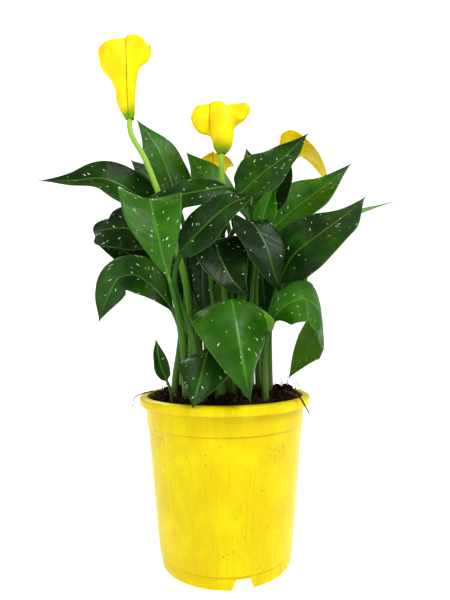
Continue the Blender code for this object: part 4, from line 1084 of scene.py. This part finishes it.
# name: upright lines on the spathe's sheet, in order round it. Each is an angle in degrees, counted from +X,
# and points (radius, height) from the neck to the rim.
SPATHES = {
    "tall": [
        (-96, [(4.0, 0), (6.5, 12), (9.5, 27), (11.5, 42), (13.5, 57), (15.4, 71), (15, 84)]),
        (-45, [(4.0, 0), (5.4, 14), (6.4, 29), (7, 45), (9, 60), (13, 74), (17, 86)]),
        (0, [(4.0, 0), (5.2, 14), (5, 29), (6.2, 44), (9.5, 58), (19, 67), (22, 79)]),
        (40, [(4.0, 0), (5, 15), (6, 31), (7.4, 47), (11, 63), (20, 79), (23, 95)]),
        (90, [(4.0, 0), (6, 16), (9, 32), (11, 48), (15, 62), (22, 77), (34, 86)]),
        (135, [(4.0, 0), (7, 12), (12, 26), (16, 40), (24, 55), (34, 68), (42, 75)]),
        (180, [(4.0, 0), (8.4, 7), (14, 19), (15, 31), (21, 45), (30, 55), (35, 71)]),
        (225, [(3.4, 0), (6.4, 9), (10.4, 19), (12, 31), (19, 42), (27, 55), (30, 73)]),
        (272, [(2.6, 0), (4.6, 12), (7.0, 27), (8.6, 42), (10.3, 57), (11.6, 71), (10.6, 84)]),
    ],
    "middle": [
        (-144, [(4.0, 0), (9.5, 8), (13.6, 17), (14.6, 28), (15, 37), (15, 45), (14.6, 52)]),
        (-90, [(4.0, 0), (10, 8), (14, 18), (14.5, 28), (14, 38), (13, 46), (12, 52)]),
        (-40, [(4.0, 0), (10, 8), (13, 18), (14, 28), (14, 36), (13.5, 42), (13, 46)]),
        (2, [(4.0, 0), (10, 8), (12.4, 18), (12.6, 26), (13, 32), (16, 36), (20, 39)]),
        (24, [(4.0, 0), (10, 8), (12.6, 18), (13.5, 28), (19, 36), (28, 44), (35, 54)]),
        (50, [(4.0, 0), (10, 9), (13, 20), (15, 33), (22, 48), (33, 62), (40, 74)]),
        (90, [(4.0, 0), (10, 9), (13, 20), (14, 34), (17, 47), (22, 58), (26, 66)]),
        (130, [(4.0, 0), (10, 9), (12.6, 19), (14, 31), (18, 42), (25, 48), (31, 48)]),
        (166, [(3.6, 0), (8.4, 8), (10.4, 16), (13, 22), (23, 28), (30, 40), (28, 49)]),
        (192, [(3.2, 0), (8, 8), (10.4, 16), (13, 21), (24, 24), (31, 38), (27, 50)]),
        (216, [(2.6, 0), (7.3, 8), (11, 17), (11.6, 28), (11.6, 37), (11.6, 45), (11.2, 52)]),
    ],
    "back": [
        (-96, [(4.0, 0), (8, 8), (12, 17), (14, 26), (17, 34), (22, 38), (27, 37)]),
        (-45, [(4.0, 0), (8, 8), (12, 17), (14, 26), (17, 34), (21, 38), (24, 36)]),
        (0, [(4.0, 0), (8, 8), (12, 17), (14, 26), (17, 34), (21, 37), (24, 34)]),
        (45, [(4.0, 0), (8, 8), (12, 17), (14, 27), (18, 36), (25, 43), (31, 44)]),
        (90, [(4.0, 0), (8, 8), (12, 17), (14, 27), (18, 38), (26, 47), (36, 50)]),
        (135, [(4.0, 0), (8, 8), (12, 17), (14, 27), (18, 36), (25, 43), (31, 44)]),
        (180, [(4.0, 0), (8, 8), (12, 17), (14, 26), (17, 34), (21, 37), (24, 34)]),
        (225, [(3.4, 0), (7.4, 8), (11.4, 17), (13.4, 26), (16, 34), (20, 37), (23, 35)]),
        (270, [(2.6, 0), (6.4, 8), (10.3, 17), (12.2, 26), (15.2, 34.4), (20.2, 39.2), (26, 39.2)]),
    ],
    "right": [
        (-140, [(4.0, 0), (8, 8), (10.4, 17), (11.6, 26), (12.8, 33), (14, 39), (15, 43)]),
        (-90, [(4.0, 0), (7, 8), (10, 17), (13, 26), (17, 34), (21, 41), (25, 46)]),
        (-45, [(4.0, 0), (6, 8), (8, 18), (12, 28), (20, 36), (31, 38), (40, 32)]),
        (0, [(4.0, 0), (5, 8), (8, 18), (15, 29), (29, 35), (44, 28), (54, 13)]),
        (45, [(4.0, 0), (6, 8), (8, 18), (12, 29), (20, 40), (31, 45), (42, 41)]),
        (90, [(4.0, 0), (7, 8), (10, 17), (12, 27), (15, 37), (19, 45), (24, 51)]),
        (135, [(4.0, 0), (8, 8), (10, 17), (11, 26), (12, 35), (14, 42), (17, 47)]),
        (180, [(3.4, 0), (7, 8), (9, 17), (9.4, 26), (9.6, 33), (10, 39), (10.4, 43)]),
        (218, [(2.6, 0), (6.4, 8), (8.6, 17), (9.6, 26), (10.6, 33), (11.6, 39), (12.4, 43)]),
    ],
}

# name: radius and route of a loose root or twig in the peat, from one end to the other.
FIBRES = {
    "root_over_left_rim": (0.7, [(-70, -20, 161), (-79, -22, 159), (-86, -24, 156), (-89, -25, 144)]),
    "twig_over_right_rim": (1.2, [(54, -46, 163), (60, -51, 161.5), (66, -58, 159), (70, -62, 152),
                                  (73, -65, 146)]),
    "twig_on_peat_left": (0.9, [(-42, -58, 160), (-47, -60, 168), (-51, -60, 177)]),
}
print("flowers:", list(FLOWERS), "loose roots:", list(FIBRES))

# %% Recipe for a tapered rod along a curve
def rod_recipe(finish, name):
    tree, given = new_recipe(name, {"Foot radius": 1.0, "Top radius": 1.0, "Knobbly": 0.0})
    route = given["Geometry"]
    along = route.put("GeometryNodeSplineParameter")
    place = route.put("GeometryNodeInputPosition")
    bumps = place.put("ShaderNodeTexNoise", {"Vector": place, "Scale": 300.0, "Detail": 2.0}) - 0.5
    radius = given["Foot radius"] + (given["Top radius"] - given["Foot radius"]) * along
    radius = radius * (bumps * given["Knobbly"] + 1.0)
    ring = route.put("GeometryNodeCurvePrimitiveCircle", {"Resolution": 16, "Radius": 1.0})
    swept = route.put("GeometryNodeCurveToMesh", {"Curve": route, "Profile Curve": ring, "Scale": radius,
                                                  "Fill Caps": True})
    end_recipe(swept, finish)
    return tree


def route_of(name, knots, samples):
    """A curve through the knots, given in millimetres."""
    path, lengths, _ = smooth_path([(*knot, 0.0) for knot in knots])
    wanted = np.linspace(0.0, lengths[-1], samples)
    curve = bpy.data.curves.new(name, "CURVE")
    curve.dimensions = "3D"
    line = curve.splines.new("POLY")
    line.points.add(samples - 1)
    for number, length in enumerate(wanted):
        spot = [MM * np.interp(length, lengths, path[:, axis]) for axis in range(3)]
        line.points[number].co = (*spot, 1.0)
    return curve


def stem_finish():
    green = Finish("stem_green", IOR=1.42, Specular_IOR_Level=0.3)
    place = green.place()
    streaks = place.scaled(1.0, 1.0, 0.05).noise(1.1, 4.0, 0.6)
    colour = place.part("Z").between(240.0, 420.0).blend((0.10, 0.24, 0.03), (0.30, 0.50, 0.06))
    colour = (streaks.between(0.45, 0.7) * 0.5).blend(colour, (0.12, 0.30, 0.03))
    return green.finish(colour, streaks * 0.1 + 0.34, streaks, 0.25)


# Radii of a stem in metres, as the recipe takes them, and how far it runs straight into its flower, in mm.
STEM_RADII = {"Foot radius": 0.0041, "Top radius": 0.0028}
STRAIGHT_END = 10
stem_rods = rod_recipe(stem_finish(), "stem_rod")
for name, flower in FLOWERS.items():
    ground = soil_height(*flower["foot"]) - ROOTED
    below = Vector(flower["top"]) - STRAIGHT_END * Vector(flower["aim"]).normalized()
    knots = [(*flower["foot"], ground), *flower["stem"], below, flower["top"]]
    made_by(stem_rods, name + "_stem", route_of(name + "_route", knots, 40), STEM_RADII, "stem_" + name)
root_rods = rod_recipe(root_brown, "root_rod")
for name, (radius, knots) in FIBRES.items():
    made_by(root_rods, name + "_piece", route_of(name + "_route", knots, 24),
            {"Foot radius": MM * radius, "Top radius": 0.4 * MM * radius, "Knobbly": 0.9}, name)
print("stems and roots made")

# %% [markdown]
# ## Spathes
# The yellow cup of a calla is one petal-like leaf, rolled round the stem with one margin lapped over the
# other, and flared and curled at the top. It is described by ribs: upright lines on the sheet, each at an
# angle round the flower and each a list of radius and height. A smooth surface through the ribs is the
# sheet, so a margin can stand clear of its neighbour and a lip can roll right over, which a turned shape
# can't do. The ribs are in the table above.

# %% A smooth sheet through the ribs
SHEET_COLUMNS, SHEET_ROWS = 96, 44
SPATHE_WALL, NECK_GAP = 0.8, 0.3


def spread(values, count):
    """Evenly many samples of a smooth curve through the values, along the first axis."""
    values = np.array(values, float)
    last = len(values) - 1
    at = np.linspace(0, last, count)
    left = np.clip(at.astype(int), 0, last - 1)
    part = (at - left).reshape(-1, *[1] * (values.ndim - 1))
    slopes = np.gradient(values, axis=0)
    rise = part * part * (3 - 2 * part)
    smooth = values[left] * (1 - rise) + values[left + 1] * rise
    return smooth + slopes[left] * part * (1 - part) ** 2 - slopes[left + 1] * part ** 2 * (1 - part)


def spathe_sheet(name):
    """Rows of points up the sheet for each column round it, in the flower's own upright frame."""
    lines = [[(*spot, turn) for spot in line] for turn, line in SPATHES[name]]
    shape = spread([spread(line, SHEET_ROWS) for line in lines], SHEET_COLUMNS)
    radius, height, turn = shape[..., 0], shape[..., 1], np.radians(shape[..., 2])
    return np.stack([radius * np.cos(turn), radius * np.sin(turn), height], axis=-1)


def build_spathe(name, finish):
    flower = FLOWERS[name]
    aim = Vector(flower["aim"]).normalized()
    tilt = Vector((0, 0, 1)).rotation_difference(aim)
    base = Vector(flower["top"]) + NECK_GAP * aim
    sheet = spathe_sheet(name)
    points = [base + tilt @ Vector(spot) for column in sheet for spot in column]
    faces = []
    for column in range(SHEET_COLUMNS - 1):
        for row in range(SHEET_ROWS - 1):
            here = column * SHEET_ROWS + row
            faces.append((here, here + SHEET_ROWS, here + SHEET_ROWS + 1, here + 1))
    mesh = bpy.data.meshes.new(name + "_spathe")
    mesh.from_pydata([MM * point for point in points], [], faces)
    made = bpy.data.objects.new(name + "_spathe", mesh)
    bpy.context.scene.collection.objects.link(made)
    mesh.materials.append(finish)
    store(made, "up_share", [row / (SHEET_ROWS - 1) for _ in sheet for row in range(SHEET_ROWS)])
    store(made, "round_share", [column / (SHEET_COLUMNS - 1) for column in range(SHEET_COLUMNS)
                                for _ in range(SHEET_ROWS)])
    wall = made.modifiers.new("Thickness", "SOLIDIFY")
    wall.thickness, wall.offset, wall.use_even_offset = SPATHE_WALL * MM, 0.0, True
    soft = made.modifiers.new("Soft edges", "SUBSURF")
    soft.levels = soft.render_levels = 1
    apply_modifiers(made)
    made.data.shade_smooth()
    return claim(made, "spathe_" + name)


print("points in each spathe's sheet:", SHEET_COLUMNS * SHEET_ROWS)

# %% [markdown]
# ### Petal yellow
# A spathe is matt, and turns green at its neck where it becomes the stem. Fine veins run up it side by side,
# and its yellow is cloudy. A thin dark line along both long margins is painted shadow, the shade in the gap
# where one margin laps over the other. On the real flower some light also passes through the thin sheet. That
# could be made with subsurface scattering, which is left out here, so a warm deep yellow has to keep the
# shaded side from going grey.

# %% Petal yellow
def petal_finish():
    petal = Finish("spathe_yellow", Specular_IOR_Level=0.2)
    up, around = petal.value("up_share"), petal.value("round_share")
    place = petal.place()
    veins = (around * 190.0 + place.noise(0.05, 2.0) * 3.0).wave()
    cloud = place.noise(0.06, 3.0, 0.5)
    colour = cloud.between(0.3, 0.7).blend((0.80, 0.58, 0.0), (0.92, 0.76, 0.0))
    colour = (veins * 0.06 + 0.06).blend(colour, (0.92, 0.60, 0.0))
    neck = (up + (cloud - 0.5) * 0.12 + veins * 0.012).between(0.30, 0.02)
    colour = (neck * 0.95).blend(colour, (0.12, 0.32, 0.005))
    # Painted shadow: a thin dark line along both long margins, for the shade in the gap where one margin laps
    # over the other.
    margin = abs(around - 0.5).between(0.492, 0.498)
    colour = (margin * 0.75).blend(colour, (0.16, 0.13, 0.01))
    return petal.finish(colour, cloud * 0.15 + 0.42, veins * 0.3 + cloud * 4.0, 0.03)


spathe_yellow = petal_finish()
for name in FLOWERS:
    build_spathe(name, spathe_yellow)
print("spathes made")

# %% [markdown]
# ## Spadices
# The finger inside each spathe is hundreds of tiny flowers, packed in the spiral that plants use: each is
# set on a fixed golden angle past the one before. That rule needs only a few nodes. Points are numbered,
# the number gives the turn and the height, and a small bead is put on each over a smooth core.

# %% Recipe for a spadix
# In metres, as the recipe takes them, apart from the turn and the number of beads for each mm of height.
SPADIX_RADIUS, BEAD_RADIUS, BARE_FOOT = 0.0029, 0.00075, 0.012
GOLDEN_ANGLE, BEADS_PER_MM = math.radians(137.508), 8


def spadix_recipe(finish):
    tree, given = new_recipe("spadix_beads", {"Height": 1.0, "Radius": 1.0, "Beads": 400.0})
    core = given["Geometry"]
    points = core.put("GeometryNodeMeshLine", {"Count": given["Beads"], "Offset": (0.0, 0.0, 0.0)})
    number = core.put("GeometryNodeInputIndex")
    share = number / given["Beads"]
    turn = number * GOLDEN_ANGLE
    radius = given["Radius"] * (1.0 - share ** 5) ** 0.5
    rounded = vector_of(turn.maths("COSINE") * radius, turn.wave() * radius,
                        share * (given["Height"] - BARE_FOOT) + BARE_FOOT)
    spiral = points.put("GeometryNodeSetPosition", {"Geometry": points, "Position": rounded})
    bead = core.put("GeometryNodeMeshUVSphere", {"Segments": 6, "Rings": 4, "Radius": BEAD_RADIUS})
    beads = spiral.put("GeometryNodeInstanceOnPoints", {"Points": spiral, "Instance": bead})
    both = beads.tree.nodes.new("GeometryNodeJoinGeometry")
    join(tree, beads, both.inputs[0])
    join(tree, core, both.inputs[0])
    end_recipe(Wire(tree, both.outputs[0]), finish)
    return tree


def spadix_core(name, height):
    turns = np.linspace(0, 2 * math.pi, 17)[:-1]
    profile = [(1.5, 0.5), (1.5, 9.0), (2.8, 12.5), (2.9, height - 8), (2.3, height - 3), (0.9, height)]
    points, faces = bridged([[(radius * math.cos(turn), radius * math.sin(turn), level) for turn in turns]
                             for radius, level in profile])
    mesh = bpy.data.meshes.new(name)
    mesh.from_pydata([tuple(MM * value for value in point) for point in points], [], faces)
    turn_outwards(mesh)
    return mesh


def pollen_finish():
    pollen = Finish("spadix_yellow", Specular_IOR_Level=0.15)
    place = pollen.place()
    grain = place.noise(1.6, 3.0)
    return pollen.finish(grain.between(0.35, 0.65).blend((0.90, 0.48, 0.01), (0.98, 0.70, 0.05)),
                         grain * 0.1 + 0.75, grain, 0.15)


spiral = spadix_recipe(pollen_finish())
for name, flower in FLOWERS.items():
    height = flower["spadix"]
    spadix = made_by(spiral, name + "_spadix", spadix_core(name + "_core", height),
                     {"Height": MM * (height - 1), "Radius": SPADIX_RADIUS, "Beads": BEADS_PER_MM * height},
                     "spadix_" + name)
    tilt = Vector((0, 0, 1)).rotation_difference(Vector(flower["aim"]).normalized()).to_matrix().to_4x4()
    spadix.data.transform(Matrix.Translation(MM * Vector(flower["top"])) @ tilt)
print("spadices made")
